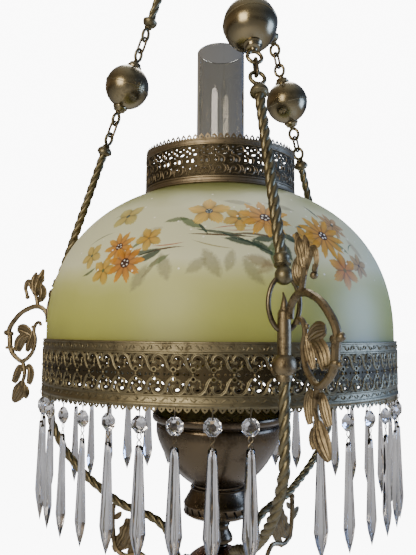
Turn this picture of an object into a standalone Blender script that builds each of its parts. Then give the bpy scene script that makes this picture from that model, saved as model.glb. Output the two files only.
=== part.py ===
"""A three-arm hanging oil lamp: glass dome, pierced brass gallery, drop-in font and cut glass drops.

All sizes are metres, +Z is up, and the origin is the centre of the ceiling plate's top face. Heights of the
lamp's own pieces are given from the top rim of the pierced gallery, which hangs GALLERY_DROP below the ceiling.
"""

import math

import bmesh
import bpy
from mathutils import Matrix, Vector

# ---- the whole lamp -------------------------------------------------------------------------------------
GALLERY_DROP = 0.690  # ceiling face down to the gallery's top rim
ARMS = 3
FRONT_ARM_DEG = -90.0
FIT = 0.0003  # gap left where two pieces touch
ROUND = 28  # sides of the dome, the gallery and the crown
SLIM = 20  # sides of the font and of what stacks with it
THIN = 0.0008  # stamped sheet

# ---- gallery, dome and crown ----------------------------------------------------------------------------
GALLERY_R = 0.184
GALLERY_HEIGHT = 0.053
GALLERY_WALL = 0.0012
LEDGE_DEPTH = 0.0065  # gallery rim down to the ledge that carries the dome
LEDGE_WIDTH = 0.010
DOME_CLEARANCE = 0.0017  # between the dome's foot and the gallery wall
DOME_WALL = 0.003
DOME_FOOT = 0.0052  # height above the gallery rim at which the dome starts to curve
DOME_RISE = 0.160
DOME_POWER = 2.25  # 2 would be an ellipse
DOME_MOUTH_R = 0.070
CROWN_R = 0.082
CROWN_HEIGHT = 0.050
CROWN_FLANGE_R = 0.063
CHIMNEY_R = 0.0265
CHIMNEY_WALL = 0.002
CHIMNEY_TOP = 0.322

# ---- font and burner ------------------------------------------------------------------------------------
FONT_LIP_R = 0.0705
FONT_LIP = -0.077
FONT_WALL = 0.0012
FONT_FOOT_R = 0.027
FONT_FOOT = -0.157
COLLAR_R = 0.0290
COLLAR_TOP = -0.044
DRAFT_R = 0.0110  # bore of the central draft tube
DRAFT_TOP = -0.013
WICK_WALL = 0.0018
WICK_LENGTH = 0.086
BURNER_TOP = -0.012
FILLER_R = 0.0085
FILLER_AT_R = FONT_LIP_R * 0.71
FILLER_DEG = 60.0
KNOB_R = 0.0085
KNOB_REACH = 0.058
KNOB_DEG = -150.0

# ---- hub ------------------------------------------------------------------------------------------------
HOLDER_R = FONT_FOOT_R + 0.009
HOLDER_BAND = (-0.169, -0.180)
STEM_BULB_R = 0.0155
HUB_R = 0.043
HUB_CENTRE = -0.257
TIE_ROD_R = 0.0032
FINIAL_LENGTH = 0.050

# ---- legs: a twisted rod, a link, a ball, a link and a twisted rod ----------------------------------------
POST_GAP = 0.021  # gallery wall out to the posts' centres
POST_R = GALLERY_R + POST_GAP
LEG_FOOT = 0.051
LEG_HEAD_R = 0.0185
CHAIN_CROWN_DROP = 0.130  # ceiling face down to the heads of the legs
LEG_HEAD = GALLERY_DROP - CHAIN_CROWN_DROP
ROD_R = 0.0050
BALL_R = 0.0256
BALL_AT = 0.261  # along the leg, from the foot
EYE_NECK = 0.0144  # ball's surface out to the centre of its eye
EYE_FROM_BALL = BALL_R + EYE_NECK
EYE_R = 0.0068
EYE_WIRE = 0.0019
LINK_WIRE = 0.0015
LINK_SPAN = 0.0114
KNUCKLE_R = 0.0087
KNUCKLE_FROM_EYE = 0.0085
BAIL_WIRE = 0.0020
BAIL_HALF_WIDTH = 0.0125
BAIL_HEIGHT = 0.042

# ---- arms and castings ----------------------------------------------------------------------------------
ARM_ROD_R = 0.0048
POST_BODY_R = 0.0052
CASTING = 0.0045  # thickness of the flat leaf castings
SCROLL_R = 0.0036
BRACKET_TURN_DEG = (15.0, 0.0, 0.0)  # each bracket sits turned by this much on its own post

# ---- ceiling fitting ------------------------------------------------------------------------------------
PLATE_R = 0.045
PLATE_THICK = 0.005
PLATE_SKIN = 0.002  # left above the hook's threaded hole
SCREW_HOLE_R = 0.0022
SCREW_CIRCLE_R = 0.034
HOOK_WIRE = 0.0030
HOOK_R = 0.012
HANGER_WIRE = 0.0025
HANGER_SPAN = 0.024
TOP_EYE_R = 0.0090

# ---- glass drops ----------------------------------------------------------------------------------------
DROP_PITCHES = 39
DROP_PHASE_DEG = 3.2  # from each arm to the empty place behind it
DROP_RING_R = GALLERY_R - GALLERY_WALL / 2
BEAD_R = 0.0077
DROP_FLATNESS = 0.6  # thickness over width
DROP_GAP = 0.0008  # gallery's lower edge down to the drop's wire, room for it to swing
BEAD_BELOW = 0.012  # gallery's lower edge down to the bead's centre
SPEAR_TOP = 0.028
SPEAR_LENGTH = 0.088
SPEAR_HALF_WIDTH = 0.0072
DROP_WIRE = 0.0006

FINISHES = {
    "antique_brass": ((0.30, 0.22, 0.10), 0.42, 1.0),
    "dark_brass": ((0.13, 0.09, 0.045), 0.5, 1.0),
    "bright_brass": ((0.42, 0.30, 0.12), 0.25, 1.0),
    "shade_glass": ((0.45, 0.47, 0.22), 0.45, 0.0),
    "clear_glass": ((0.85, 0.87, 0.86), 0.05, 0.0),
    "wick_cotton": ((0.75, 0.70, 0.58), 0.95, 0.0),
}

Z = Vector((0, 0, 1))


def cleared_scene():
    """Empty the file and make the collections for the lamp and for its helpers."""
    for obj in list(bpy.data.objects):
        bpy.data.objects.remove(obj, do_unlink=True)
    lamp = bpy.data.collections.new("oil_lamp")
    helpers = bpy.data.collections.new("cutters")
    for collection in (lamp, helpers):
        bpy.context.scene.collection.children.link(collection)
    helpers.hide_render = True
    return lamp, helpers


LAMP, HELPERS = cleared_scene()


def finish(name):
    """The material called name, made once."""
    found = bpy.data.materials.get(name)
    if found:
        return found
    colour, roughness, metallic = FINISHES[name]
    material = bpy.data.materials.new(name)
    material.use_nodes = True
    shader = material.node_tree.nodes["Principled BSDF"]
    shader.inputs["Base Color"].default_value = (*colour, 1.0)
    shader.inputs["Roughness"].default_value = roughness
    shader.inputs["Metallic"].default_value = metallic
    return material


def new_object(name, data):
    """A helper object; keep() makes it a piece of the lamp."""
    obj = bpy.data.objects.new(name, data)
    obj.hide_render = True
    obj.display_type = "WIRE"
    HELPERS.objects.link(obj)
    return obj


def from_bmesh(name, shape):
    mesh = bpy.data.meshes.new(name)
    shape.to_mesh(mesh)
    shape.free()
    return new_object(name, mesh)


def baked(obj):
    """Turn an object with its modifiers, or a curve, into one welded mesh."""
    bpy.context.view_layer.update()
    graph = bpy.context.evaluated_depsgraph_get()
    mesh = bpy.data.meshes.new_from_object(obj.evaluated_get(graph))
    shape = bmesh.new()
    shape.from_mesh(mesh)
    bmesh.ops.remove_doubles(shape, verts=shape.verts, dist=1e-6)
    shape.to_mesh(mesh)
    shape.free()
    solid = new_object(obj.name + "_solid", mesh)
    solid.matrix_world = obj.matrix_world
    bpy.data.objects.remove(obj, do_unlink=True)
    return solid


def turned(name, profile, steps, closed=False):
    """Spin a profile of (radius, height) points; it runs down the outer side, and round if closed."""
    mesh = bpy.data.meshes.new(name)
    edges = [(i, i + 1) for i in range(len(profile) - 1)]
    if closed:
        edges.append((len(profile) - 1, 0))
    mesh.from_pydata([(r, 0, z) for r, z in profile], edges, [])
    obj = new_object(name, mesh)
    screw = obj.modifiers.new("turn", "SCREW")
    screw.angle = math.tau
    screw.steps = steps
    screw.render_steps = steps
    screw.use_merge_vertices = True
    screw.merge_threshold = 1e-5
    return baked(obj)


def tube(name, points, radius, closed=False, sides=8):
    """A round wire or rod through points."""
    curve = bpy.data.curves.new(name, "CURVE")
    curve.dimensions = "3D"
    curve.bevel_depth = radius
    curve.bevel_resolution = (sides - 4) // 2
    curve.use_fill_caps = not closed
    spline = curve.splines.new("POLY")
    spline.points.add(len(points) - 1)
    for point, place in zip(spline.points, points):
        point.co = (*place, 1.0)
    spline.use_cyclic_u = closed
    return baked(new_object(name, curve))


def rounded(points, count):
    """Count points along a smooth curve through the given ones."""
    points = [Vector(p) for p in points]
    spans = len(points) - 1

    def at(i):
        return points[min(max(i, 0), spans)]

    found = []
    for k in range(count):
        place = k * spans / (count - 1)
        i = min(int(place), spans - 1)
        t = place - i
        a, b, c, d = at(i - 1), at(i), at(i + 1), at(i + 2)
        found.append(
            0.5
            * (
                2 * b
                + (c - a) * t
                + (2 * a - 5 * b + 4 * c - d) * t**2
                + (3 * b - a - 3 * c + d) * t**3
            )
        )
    return found


def ring_points(radius, count, centre=(0, 0, 0), across=(1, 0, 0), up=(0, 0, 1)):
    """Points round a circle that lies in the plane of two directions."""
    centre, across, up = Vector(centre), Vector(across), Vector(up)
    turns = [math.tau * k / count for k in range(count)]
    return [centre + radius * (math.cos(a) * across + math.sin(a) * up) for a in turns]


def loop_points(radius, span, centre, across=(1, 0, 0), along=(0, 0, 1), arc=5):
    """A long link's outline: two half circles of radius, their centres span apart."""
    centre, across, along = Vector(centre), Vector(across), Vector(along)
    found = []
    for end in (1, -1):
        for k in range(arc + 1):
            a = math.pi * k / arc
            side = across * math.cos(a) * end
            tip = along * math.sin(a) * end
            found.append(centre + along * (end * span / 2) + radius * (side + tip))
    return found


def cylinder(name, radius, low, high, sides=16):
    """A round bar along Z."""
    shape = bmesh.new()
    bmesh.ops.create_cone(
        shape, cap_ends=True, segments=sides, radius1=radius, radius2=radius, depth=high - low
    )
    bmesh.ops.translate(shape, verts=shape.verts, vec=Z * (low + high) / 2)
    return from_bmesh(name, shape)


def ball(name, radius, centre, scale=(1, 1, 1), turn=None, segments=12, rings=8):
    """A sphere, stretched by scale and then turned."""
    shape = bmesh.new()
    bmesh.ops.create_uvsphere(shape, u_segments=segments, v_segments=rings, radius=radius)
    bmesh.ops.scale(shape, verts=shape.verts, vec=scale)
    if turn is not None:
        bmesh.ops.rotate(shape, verts=shape.verts, matrix=turn)
    bmesh.ops.translate(shape, verts=shape.verts, vec=centre)
    return from_bmesh(name, shape)


def combine(base, others, operation):
    """Join the others to base, or cut them from it."""
    for other in others:
        step = base.modifiers.new(operation, "BOOLEAN")
        step.operation = operation
        step.solver = "EXACT"
        step.object = other
        base = baked(base)
        bpy.data.objects.remove(other, do_unlink=True)
    base.data.transform(base.matrix_world)
    base.matrix_world = Matrix.Identity(4)
    return base


def fused(base, *others):
    return combine(base, others, "UNION")


def cut(base, *others):
    return combine(base, others, "DIFFERENCE")


def copied(obj):
    twin = new_object(obj.name + "_copy", obj.data.copy())
    twin.matrix_world = obj.matrix_world
    return twin


def keep(obj, name, material, place=None, smooth_deg=40.0):
    """Make a helper a named piece of the lamp, moved by place."""
    HELPERS.objects.unlink(obj)
    LAMP.objects.link(obj)
    obj.name = name
    obj.data.name = name
    obj.hide_render = False
    obj.display_type = "TEXTURED"
    obj.data.materials.clear()
    obj.data.materials.append(finish(material))
    obj.data.shade_smooth()
    obj.data.set_sharp_from_angle(angle=math.radians(smooth_deg))
    if place is not None:
        obj.matrix_world = place @ obj.matrix_world
    return obj


HUNG = Matrix.Translation((0, 0, -GALLERY_DROP))  # from the gallery's rim to the ceiling


def arm_angle(index):
    return math.radians(FRONT_ARM_DEG + index * 360 / ARMS)


def arm_frame(index):
    """Z up from the gallery rim's height, X outwards along arm number index."""
    return HUNG @ Matrix.Rotation(arm_angle(index), 4, "Z")


LEG_LEAN = math.atan2(POST_R - LEG_HEAD_R, LEG_HEAD - LEG_FOOT)
LEG_LENGTH = math.hypot(POST_R - LEG_HEAD_R, LEG_HEAD - LEG_FOOT)


def leg_frame(index):
    """Z along the leg from its foot, X away from the lamp's axis, Y along the gallery."""
    foot = Matrix.Translation((POST_R, 0, LEG_FOOT))
    return arm_frame(index) @ foot @ Matrix.Rotation(-LEG_LEAN, 4, "Y")


# ---- the glass and what carries it ------------------------------------------------------------------------
DOME_R = GALLERY_R - GALLERY_WALL - DOME_CLEARANCE


def dome_height(radius):
    """Height of the dome's outer face above the gallery's rim."""
    share = min(radius / DOME_R, 1.0)
    return DOME_FOOT + DOME_RISE * (1 - share**DOME_POWER) ** (1 / DOME_POWER)


def dome_profile(inset, count=6):
    """Outer or inner face of the dome from its mouth to its foot."""
    found = []
    last = math.acos(min(DOME_MOUTH_R / DOME_R, 1.0))
    for k in range(count + 1):
        a = last * (1 - k / count)
        r = DOME_R * math.cos(a)
        slope = math.atan2(math.sin(a), math.cos(a) + 1e-6)
        z = dome_height(r)
        found.append((r - inset * math.cos(slope), z - inset * math.sin(slope)))
    return found


def build_gallery():
    """Gallery wall with the ledge that the dome stands on."""
    inner = GALLERY_R - GALLERY_WALL
    profile = [
        (GALLERY_R, 0),
        (GALLERY_R, -GALLERY_HEIGHT),
        (inner, -GALLERY_HEIGHT),
        (inner, -LEDGE_DEPTH - GALLERY_WALL),
        (inner - LEDGE_WIDTH, -LEDGE_DEPTH - GALLERY_WALL),
        (inner - LEDGE_WIDTH, -LEDGE_DEPTH),
        (inner, -LEDGE_DEPTH),
        (inner, 0),
    ]
    keep(turned("gallery", profile, ROUND, closed=True), "shade_gallery", "antique_brass", HUNG)


def build_dome():
    outer = dome_profile(0.0)
    inner = dome_profile(DOME_WALL)
    foot = -LEDGE_DEPTH + FIT
    profile = outer + [(DOME_R, foot), (DOME_R - DOME_WALL, foot)] + inner[::-1]
    keep(turned("dome", profile, ROUND, closed=True), "glass_shade", "shade_glass", HUNG)


def crown_base():
    return dome_height(CROWN_R) + FIT


def build_crown():
    """Crown that stands on the dome's mouth by its flange."""
    low = crown_base()
    seat = dome_height(DOME_MOUTH_R) + 2 * FIT
    profile = [
        (CROWN_R, low + CROWN_HEIGHT),
        (CROWN_R, low),
        (CROWN_R - THIN, low + 4 * FIT),
        (CROWN_R - THIN, seat),
        (CROWN_FLANGE_R, seat),
        (CROWN_FLANGE_R, seat + THIN),
        (CROWN_R - THIN, seat + THIN),
        (CROWN_R - THIN, low + CROWN_HEIGHT),
    ]
    keep(turned("crown", profile, ROUND, closed=True), "shade_crown", "antique_brass", HUNG)


# ---- font, burner and chimney -----------------------------------------------------------------------------
SEAT_Z = BURNER_TOP - 0.019  # floor of the burner's cup, under the chimney
DRAFT_OUTER_R = DRAFT_R + 0.001
WICK_R = DRAFT_OUTER_R + FIT + WICK_WALL
WICK_TUBE_R = WICK_R + FIT + 0.001


def build_font():
    """Spun bowl with its draft tube up the middle, open at the collar."""
    lip = FONT_LIP
    bowl = [
        (COLLAR_R, COLLAR_TOP),
        (COLLAR_R, COLLAR_TOP - 0.008),
        (FONT_LIP_R * 0.62, lip + 0.020),
        (FONT_LIP_R * 0.84, lip + 0.011),
        (FONT_LIP_R - 0.003, lip + 0.001),
        (FONT_LIP_R, lip - 0.002),
        (FONT_LIP_R, lip - 0.007),
        (FONT_LIP_R - 0.0045, lip - 0.009),
        (FONT_LIP_R - 0.0040, lip - 0.020),
        (FONT_LIP_R * 0.88, lip - 0.034),
        (FONT_LIP_R * 0.74, lip - 0.051),
        (FONT_LIP_R * 0.55, lip - 0.066),
        (FONT_FOOT_R, FONT_FOOT + 0.006),
        (FONT_FOOT_R, FONT_FOOT),
    ]
    wall = FONT_WALL
    inside = [
        (DRAFT_R, FONT_FOOT),
        (DRAFT_R, DRAFT_TOP),
        (DRAFT_OUTER_R, DRAFT_TOP),
        (DRAFT_OUTER_R, FONT_FOOT + wall),
        (FONT_FOOT_R - wall, FONT_FOOT + wall + 0.006),
        (FONT_LIP_R * 0.55 - wall, lip - 0.066 + wall),
        (FONT_LIP_R * 0.88 - wall, lip - 0.034 + wall / 2),
        (FONT_LIP_R - 0.0045 - wall, lip - 0.010),
        (FONT_LIP_R * 0.80, lip + 0.0105),
        (FONT_LIP_R * 0.60, lip + 0.0185),
        (COLLAR_R - wall, COLLAR_TOP - 0.0085),
        (COLLAR_R - wall, COLLAR_TOP),
    ]
    font = turned("font", bowl + inside, SLIM, closed=True)
    neck = cylinder("filler", FILLER_R - 0.002, lip + 0.010, lip + 0.022, 12)
    turn = Matrix.Rotation(math.radians(FILLER_DEG), 4, "Z")
    neck.matrix_world = turn @ Matrix.Translation((FILLER_AT_R, 0, 0))
    keep(fused(font, neck), "font", "bright_brass", HUNG)
    cap_low = lip + 0.022 + FIT
    cap = turned(
        "cap",
        [
            (0, cap_low + 0.008),
            (0.003, cap_low + 0.007),
            (0.004, cap_low + 0.004),
            (FILLER_R, cap_low + 0.003),
            (FILLER_R, cap_low),
            (0, cap_low),
        ],
        16,
    )
    place = HUNG @ turn @ Matrix.Translation((FILLER_AT_R, 0, 0))
    keep(cap, "filler_cap", "bright_brass", place)


def burner_profile():
    cup = CHIMNEY_R + FIT
    skirt = COLLAR_R + FIT
    tube_in = WICK_TUBE_R - 0.001
    return [
        (cup + THIN, BURNER_TOP),
        (cup + THIN, SEAT_Z + 0.001),
        (skirt + 0.0012, SEAT_Z - 0.003),
        (skirt + 0.0012, COLLAR_TOP - 0.004),
        (skirt, COLLAR_TOP - 0.004),
        (skirt, COLLAR_TOP + FIT),
        (tube_in, COLLAR_TOP + FIT),
        (tube_in, BURNER_TOP - 0.002),
        (WICK_TUBE_R, BURNER_TOP - 0.002),
        (WICK_TUBE_R, SEAT_Z),
        (cup, SEAT_Z),
        (cup, BURNER_TOP),
    ]


def build_burner():
    """Burner cup on the font's collar, bored for the wick knob's spindle."""
    burner = turned("burner", burner_profile(), SLIM, closed=True)
    spindle_z = (SEAT_Z + COLLAR_TOP) / 2
    place = Matrix.Rotation(math.radians(KNOB_DEG), 4, "Z") @ Matrix.Translation((0, 0, spindle_z))
    place = place @ Matrix.Rotation(math.pi / 2, 4, "Y")
    bore = cylinder("bore", 0.0013 + FIT, COLLAR_R - 0.006, COLLAR_R + 0.008, 12)
    bore.matrix_world = place
    keep(cut(burner, bore), "burner", "antique_brass", HUNG)
    spindle = turned(
        "knob",
        [
            (0, KNOB_REACH),
            (KNOB_R * 0.8, KNOB_REACH),
            (KNOB_R, KNOB_REACH - 0.001),
            (KNOB_R, KNOB_REACH - 0.003),
            (0.003, KNOB_REACH - 0.0035),
            (0.0013, KNOB_REACH - 0.005),
            (0.0013, COLLAR_R - 0.004),
            (0, COLLAR_R - 0.004),
        ],
        16,
    )
    keep(spindle, "wick_knob", "bright_brass", HUNG @ place)


def build_wick():
    inner = DRAFT_OUTER_R + FIT
    top = BURNER_TOP - 0.0005
    profile = [(WICK_R, top), (WICK_R, top - WICK_LENGTH), (inner, top - WICK_LENGTH), (inner, top)]
    keep(turned("wick", profile, SLIM, closed=True), "wick", "wick_cotton", HUNG)


def build_flame_spreader():
    """Thimble in the top of the draft tube, with its button over the wick."""
    stem = DRAFT_R - FIT
    low = DRAFT_TOP + FIT
    profile = [
        (0, low + 0.009),
        (WICK_R * 0.7, low + 0.008),
        (WICK_R, low + 0.006),
        (stem, low + 0.004),
        (stem, low - 0.012),
        (0, low - 0.012),
    ]
    keep(turned("spreader", profile, SLIM), "flame_spreader", "bright_brass", HUNG)


def build_chimney():
    inner = CHIMNEY_R - CHIMNEY_WALL
    low = SEAT_Z + FIT
    profile = [(CHIMNEY_R, CHIMNEY_TOP), (CHIMNEY_R, low), (inner, low), (inner, CHIMNEY_TOP)]
    keep(turned("chimney", profile, SLIM, closed=True), "chimney", "clear_glass", HUNG)


# ---- hub --------------------------------------------------------------------------------------------------
STEM_TOP = HOLDER_BAND[1] - 0.004
HUB_POLE = math.sqrt(HUB_R**2 - TIE_ROD_R**2) + FIT  # hub centre to what sits on its ends
STEM_LOW = HUB_CENTRE + HUB_POLE
TIE_LOW = HUB_CENTRE - HUB_R - 0.016


def build_font_holder():
    """Open cup with slanted draught slots that the font drops into."""
    seat = FONT_FOOT - FIT
    low = STEM_TOP + FIT
    wall = 0.0015
    bore = TIE_ROD_R + FIT
    profile = [
        (FONT_FOOT_R + FIT + wall, seat + 0.004),
        (HOLDER_R, HOLDER_BAND[0]),
        (HOLDER_R, HOLDER_BAND[1]),
        (HOLDER_R - 0.008, low),
        (bore, low),
        (bore, low + wall),
        (HOLDER_R - 0.010, low + wall),
        (HOLDER_R - wall, HOLDER_BAND[1]),
        (HOLDER_R - wall, HOLDER_BAND[0]),
        (FONT_FOOT_R - 0.002, seat - 0.0012),
        (FONT_FOOT_R - 0.002, seat),
        (FONT_FOOT_R + FIT, seat),
        (FONT_FOOT_R + FIT, seat + 0.004),
    ]
    holder = turned("holder", profile, SLIM, closed=True)
    slots = []
    for k in range(8):
        slot = cylinder("slot", 0.0011, 0, 0.012, 6)
        lean = Matrix.Rotation(math.radians(35), 4, "X")
        place = Matrix.Rotation(math.tau * k / 8, 4, "Z") @ Matrix.Translation(
            (HOLDER_R - 0.0015, 0, (seat + HOLDER_BAND[0]) / 2 - 0.004)
        )
        slot.matrix_world = place @ Matrix.Rotation(math.radians(-38), 4, "Y") @ lean
        slots.append(slot)
    keep(cut(holder, *slots), "font_holder", "antique_brass", HUNG)


def build_hub():
    """Vase stem, hollow hub ball, the tie rod through them and the finial nut below."""
    bore = TIE_ROD_R + FIT
    tall = STEM_TOP - STEM_LOW
    stem = [
        (0.0225, STEM_TOP),
        (0.0120, STEM_TOP - 0.23 * tall),
        (0.0115, STEM_TOP - 0.40 * tall),
        (STEM_BULB_R, STEM_TOP - 0.70 * tall),
        (STEM_BULB_R, STEM_TOP - 0.84 * tall),
        (0.0085, STEM_LOW + 0.09 * tall),
        (0.0105, STEM_LOW + 0.04 * tall),
        (0.0105, STEM_LOW),
        (bore, STEM_LOW),
        (bore, STEM_TOP),
    ]
    keep(turned("stem", stem, 14, closed=True), "vase_stem", "antique_brass", HUNG)
    wall = 0.0012
    first = math.asin(bore / HUB_R)
    shell = []
    for radius, order in ((HUB_R, 1), (HUB_R - wall, -1)):
        start = math.asin(bore / radius) if order < 0 else first
        arc = [start + (math.pi - 2 * start) * k / 6 for k in range(7)][::order]
        shell += [(radius * math.sin(a), HUB_CENTRE + radius * math.cos(a)) for a in arc]
    keep(turned("hub", shell, 18, closed=True), "hub_ball", "dark_brass", HUNG)
    rod_top = STEM_TOP + 0.012
    nut = [(0, rod_top), (TIE_ROD_R * 2, rod_top), (TIE_ROD_R * 2, rod_top - 0.005)]
    shank = [(TIE_ROD_R, rod_top - 0.005), (TIE_ROD_R, TIE_LOW), (0, TIE_LOW)]
    keep(turned("tie", nut + shank, 12), "tie_rod", "dark_brass", HUNG)
    top = HUB_CENTRE - HUB_POLE
    finial = [
        (0, TIE_LOW - FIT),
        (bore, TIE_LOW - FIT),
        (bore, top),
        (0.012, top),
        (0.013, top - 0.003),
        (0.009, top - 0.008),
        (0.010, top - 0.014),
        (0.014, top - 0.022),
        (0.010, top - 0.032),
        (0.004, top - 0.038),
        (0.0045, top - 0.042),
        (0.0025, top - FINIAL_LENGTH),
        (0, top - FINIAL_LENGTH - 0.001),
    ]
    keep(turned("finial", finial, 12), "bottom_finial", "antique_brass", HUNG)


# ---- legs -------------------------------------------------------------------------------------------------
def eye(at):
    """Round eye square to the leg's lean, centred at distance at along the leg."""
    return tube("eye", ring_points(EYE_R, 10, (0, 0, at), (0, 1, 0)), EYE_WIRE, True, 4)


def knuckle(at, toward):
    """Bell-shaped knuckle under an eye; toward is +1 where its mouth faces up the leg."""
    shape = [
        (0, at - 0.0055),
        (0.0035, at - 0.0055),
        (KNUCKLE_R * 0.8, at - 0.002),
        (KNUCKLE_R, at + 0.003),
        (KNUCKLE_R * 0.8, at + 0.0065),
        (0, at + 0.0065),
    ]
    if toward < 0:
        shape = [(r, 2 * at - z) for r, z in shape]
    else:
        shape = shape[::-1]
    return turned("knuckle", shape, 8)


def straight_rod(low, high):
    return cylinder("rod", ROD_R, low, high, 8)


def build_leg(index):
    """The five pieces of one leg, foot to head, and the bail that hangs the arm's post from it."""
    number = index + 1
    frame = leg_frame(index)
    eye_gap = 2 * EYE_R + LINK_SPAN
    lower_eye = BALL_AT - EYE_FROM_BALL
    rod_top_eye = lower_eye - eye_gap
    upper_eye = BALL_AT + EYE_FROM_BALL
    rod_low_eye = upper_eye + eye_gap
    head_eye = LEG_LENGTH - EYE_R

    knob = turned(
        "knob",
        [
            (0, 0.018),
            (ROD_R + 0.0012, 0.018),
            (ROD_R + 0.0014, 0.010),
            (0.0045, 0.008),
            (0.0068, 0.003),
            (0.0072, 0),
            (0.0058, -0.0045),
            (0.0030, -0.0068),
            (0, -0.0072),
        ],
        10,
    )
    hole = bail_solid(FIT)
    hole.matrix_world = frame.inverted() @ arm_frame(index)
    top = rod_top_eye - EYE_R - KNUCKLE_FROM_EYE + 0.002
    lower = fused(cut(knob, hole), straight_rod(0.016, top), knuckle(top, -1), eye(rod_top_eye))
    keep(lower, f"lower_rod_{number}", "antique_brass", frame)

    keep(link_solid(lower_eye, rod_top_eye), f"lower_link_{number}", "dark_brass", frame)
    keep(leg_ball(lower_eye, upper_eye), f"chain_ball_{number}", "antique_brass", frame)
    keep(link_solid(rod_low_eye, upper_eye), f"upper_link_{number}", "dark_brass", frame)

    bottom = rod_low_eye + EYE_R + KNUCKLE_FROM_EYE - 0.002
    upper = straight_rod(bottom, head_eye - EYE_R + 0.0005)
    upper = fused(upper, knuckle(bottom, 1), eye(rod_low_eye), eye(head_eye))
    keep(upper, f"upper_rod_{number}", "antique_brass", frame)


def link_solid(high_eye, low_eye):
    """Long link whose ends wrap the near wires of two eyes."""
    centre = (0, 0, (high_eye + low_eye) / 2)
    span = high_eye - low_eye - 2 * EYE_R
    wrap = EYE_WIRE + FIT + LINK_WIRE
    points = loop_points(wrap, span, centre, (1, 0, 0), (0, 0, 1), 4)
    return tube("link", points, LINK_WIRE * 0.96, True, 4)


def leg_ball(lower_eye, upper_eye):
    """Hollow ball on its own stem: the shell is closed round the stem below and open by a hair above."""
    wall = 0.0010
    stem_r = 0.0022
    outer_first = math.asin(0.0040 / BALL_R)
    inner_first = math.asin(0.0040 / (BALL_R - wall))
    inner_last = math.asin(stem_r / (BALL_R - wall))
    cap = BALL_R + 0.0002
    profile = [(0, BALL_AT + cap + 0.007), (0.004, BALL_AT + cap + 0.007)]
    profile += [(0.0066, BALL_AT + cap + 0.004), (0.0074, BALL_AT + cap), (stem_r, BALL_AT + cap)]
    for k in range(5):
        a = math.pi - inner_last - (math.pi - inner_last - inner_first) * k / 4
        profile.append(
            ((BALL_R - wall) * math.sin(a), BALL_AT + (BALL_R - wall) * math.cos(a))
        )
    for k in range(7):
        a = outer_first + (math.pi - 2 * outer_first) * k / 6
        profile.append((BALL_R * math.sin(a), BALL_AT + BALL_R * math.cos(a)))
    profile += [(0.0074, BALL_AT - cap), (0.0066, BALL_AT - cap - 0.004)]
    profile += [(0.004, BALL_AT - cap - 0.007), (0, BALL_AT - cap - 0.007)]
    solid = turned("ball", profile, 12)
    return fused(solid, eye(lower_eye), eye(upper_eye))


BAIL_TOP = LEG_FOOT
BAIL_CENTRE = (POST_R, 0, BAIL_TOP - BAIL_HEIGHT / 2)


def bail_solid(extra=0.0):
    """Oval wire bail through the rod's knob above and the arm's post below, in the arm's frame."""
    points = []
    count = 14
    for k in range(count):
        a = math.tau * k / count
        side = BAIL_HALF_WIDTH * math.cos(a)
        points.append((POST_R, side, BAIL_CENTRE[2] + BAIL_HEIGHT / 2 * math.sin(a)))
    return tube("bail", points, BAIL_WIRE + extra, True, 6)


# ---- arms and castings ------------------------------------------------------------------------------------
POST_TOP = 0.026
ARM_CURVE = (  # share of the way out from the hub's side to the post, height from the gallery's rim
    (1.000, -0.022),
    (1.000, -0.085),
    (0.963, -0.105),
    (0.889, -0.125),
    (0.796, -0.142),
    (0.660, -0.160),
    (0.432, -0.182),
    (0.259, -0.190),
    (0.142, -0.198),
    (0.062, -0.212),
)
ARM_END = 0.022  # height above the hub's centre at which an arm meets it
BRACKET_SHARE = 0.488  # place of the lower bracket's strap along the arm
BRACKET_SLOPE = 0.62  # fall of the rod there, run over rise, with the strap's corners


def arm_reach(share):
    """Radius at a share of the way out from the hub's side to the post."""
    return HUB_R + share * (POST_R - HUB_R)


def arm_path():
    """Smooth centre line of an arm's rod from the post's collar in to the hub."""
    meet = math.sqrt(HUB_R**2 - ARM_END**2) + 0.0035 + ARM_ROD_R * 0.8
    path = [(arm_reach(share), 0, z) for share, z in ARM_CURVE]
    return rounded(path + [(meet, 0, HUB_CENTRE + ARM_END)], 18)


def arm_height(radius):
    """Height of the rod's centre line where it crosses a radius."""
    path = arm_path()
    for outer, inner in zip(path, path[1:]):
        if inner.x <= radius <= outer.x and outer.x > inner.x:
            return inner.z + (outer.z - inner.z) * (radius - inner.x) / (outer.x - inner.x)
    return path[-1].z


def build_arm(index):
    """Cast post with its collar, drilled for the bail, and the twisted rod that sweeps in to the hub."""
    rod = tube("arm", arm_path(), ARM_ROD_R, False, 6)
    post = turned(
        "post",
        [
            (0, POST_TOP),
            (0.0042, POST_TOP - 0.001),
            (POST_BODY_R - 0.0002, POST_TOP - 0.006),
            (POST_BODY_R, -0.013),
            (0.0085, -0.015),
            (0.0092, -0.020),
            (0.0080, -0.027),
            (0.0048, -0.029),
            (0, -0.029),
        ],
        8,
    )
    post.matrix_world = Matrix.Translation((POST_R, 0, 0))
    lug = cylinder("lug", 0.0030, GALLERY_R + FIT + 0.0002, POST_R, 8)
    lug.matrix_world = Matrix.Translation((0, 0, -0.021)) @ Matrix.Rotation(math.pi / 2, 4, "Y")
    arm = fused(cut(post, bail_solid(FIT)), rod, lug)
    keep(arm, f"arm_{index + 1}", "antique_brass", arm_frame(index))
    keep(bail_solid(), f"bail_{index + 1}", "dark_brass", arm_frame(index))


def leaf(centre, length, width, lean_deg):
    """Flat leaf lobe in the XZ plane; lean is measured from straight up, positive outwards."""
    turn = Matrix.Rotation(math.radians(lean_deg), 3, "Y")
    return ball(
        "leaf", 1.0, (centre[0], 0, centre[1]), (width / 2, CASTING / 2, length / 2), turn, 6, 4
    )


def scroll(points, radius=SCROLL_R, count=9):
    """Round cast stem through (outwards, up) points."""
    return tube("scroll", rounded([(x, 0, z) for x, z in points], count), radius, False, 4)


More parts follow.
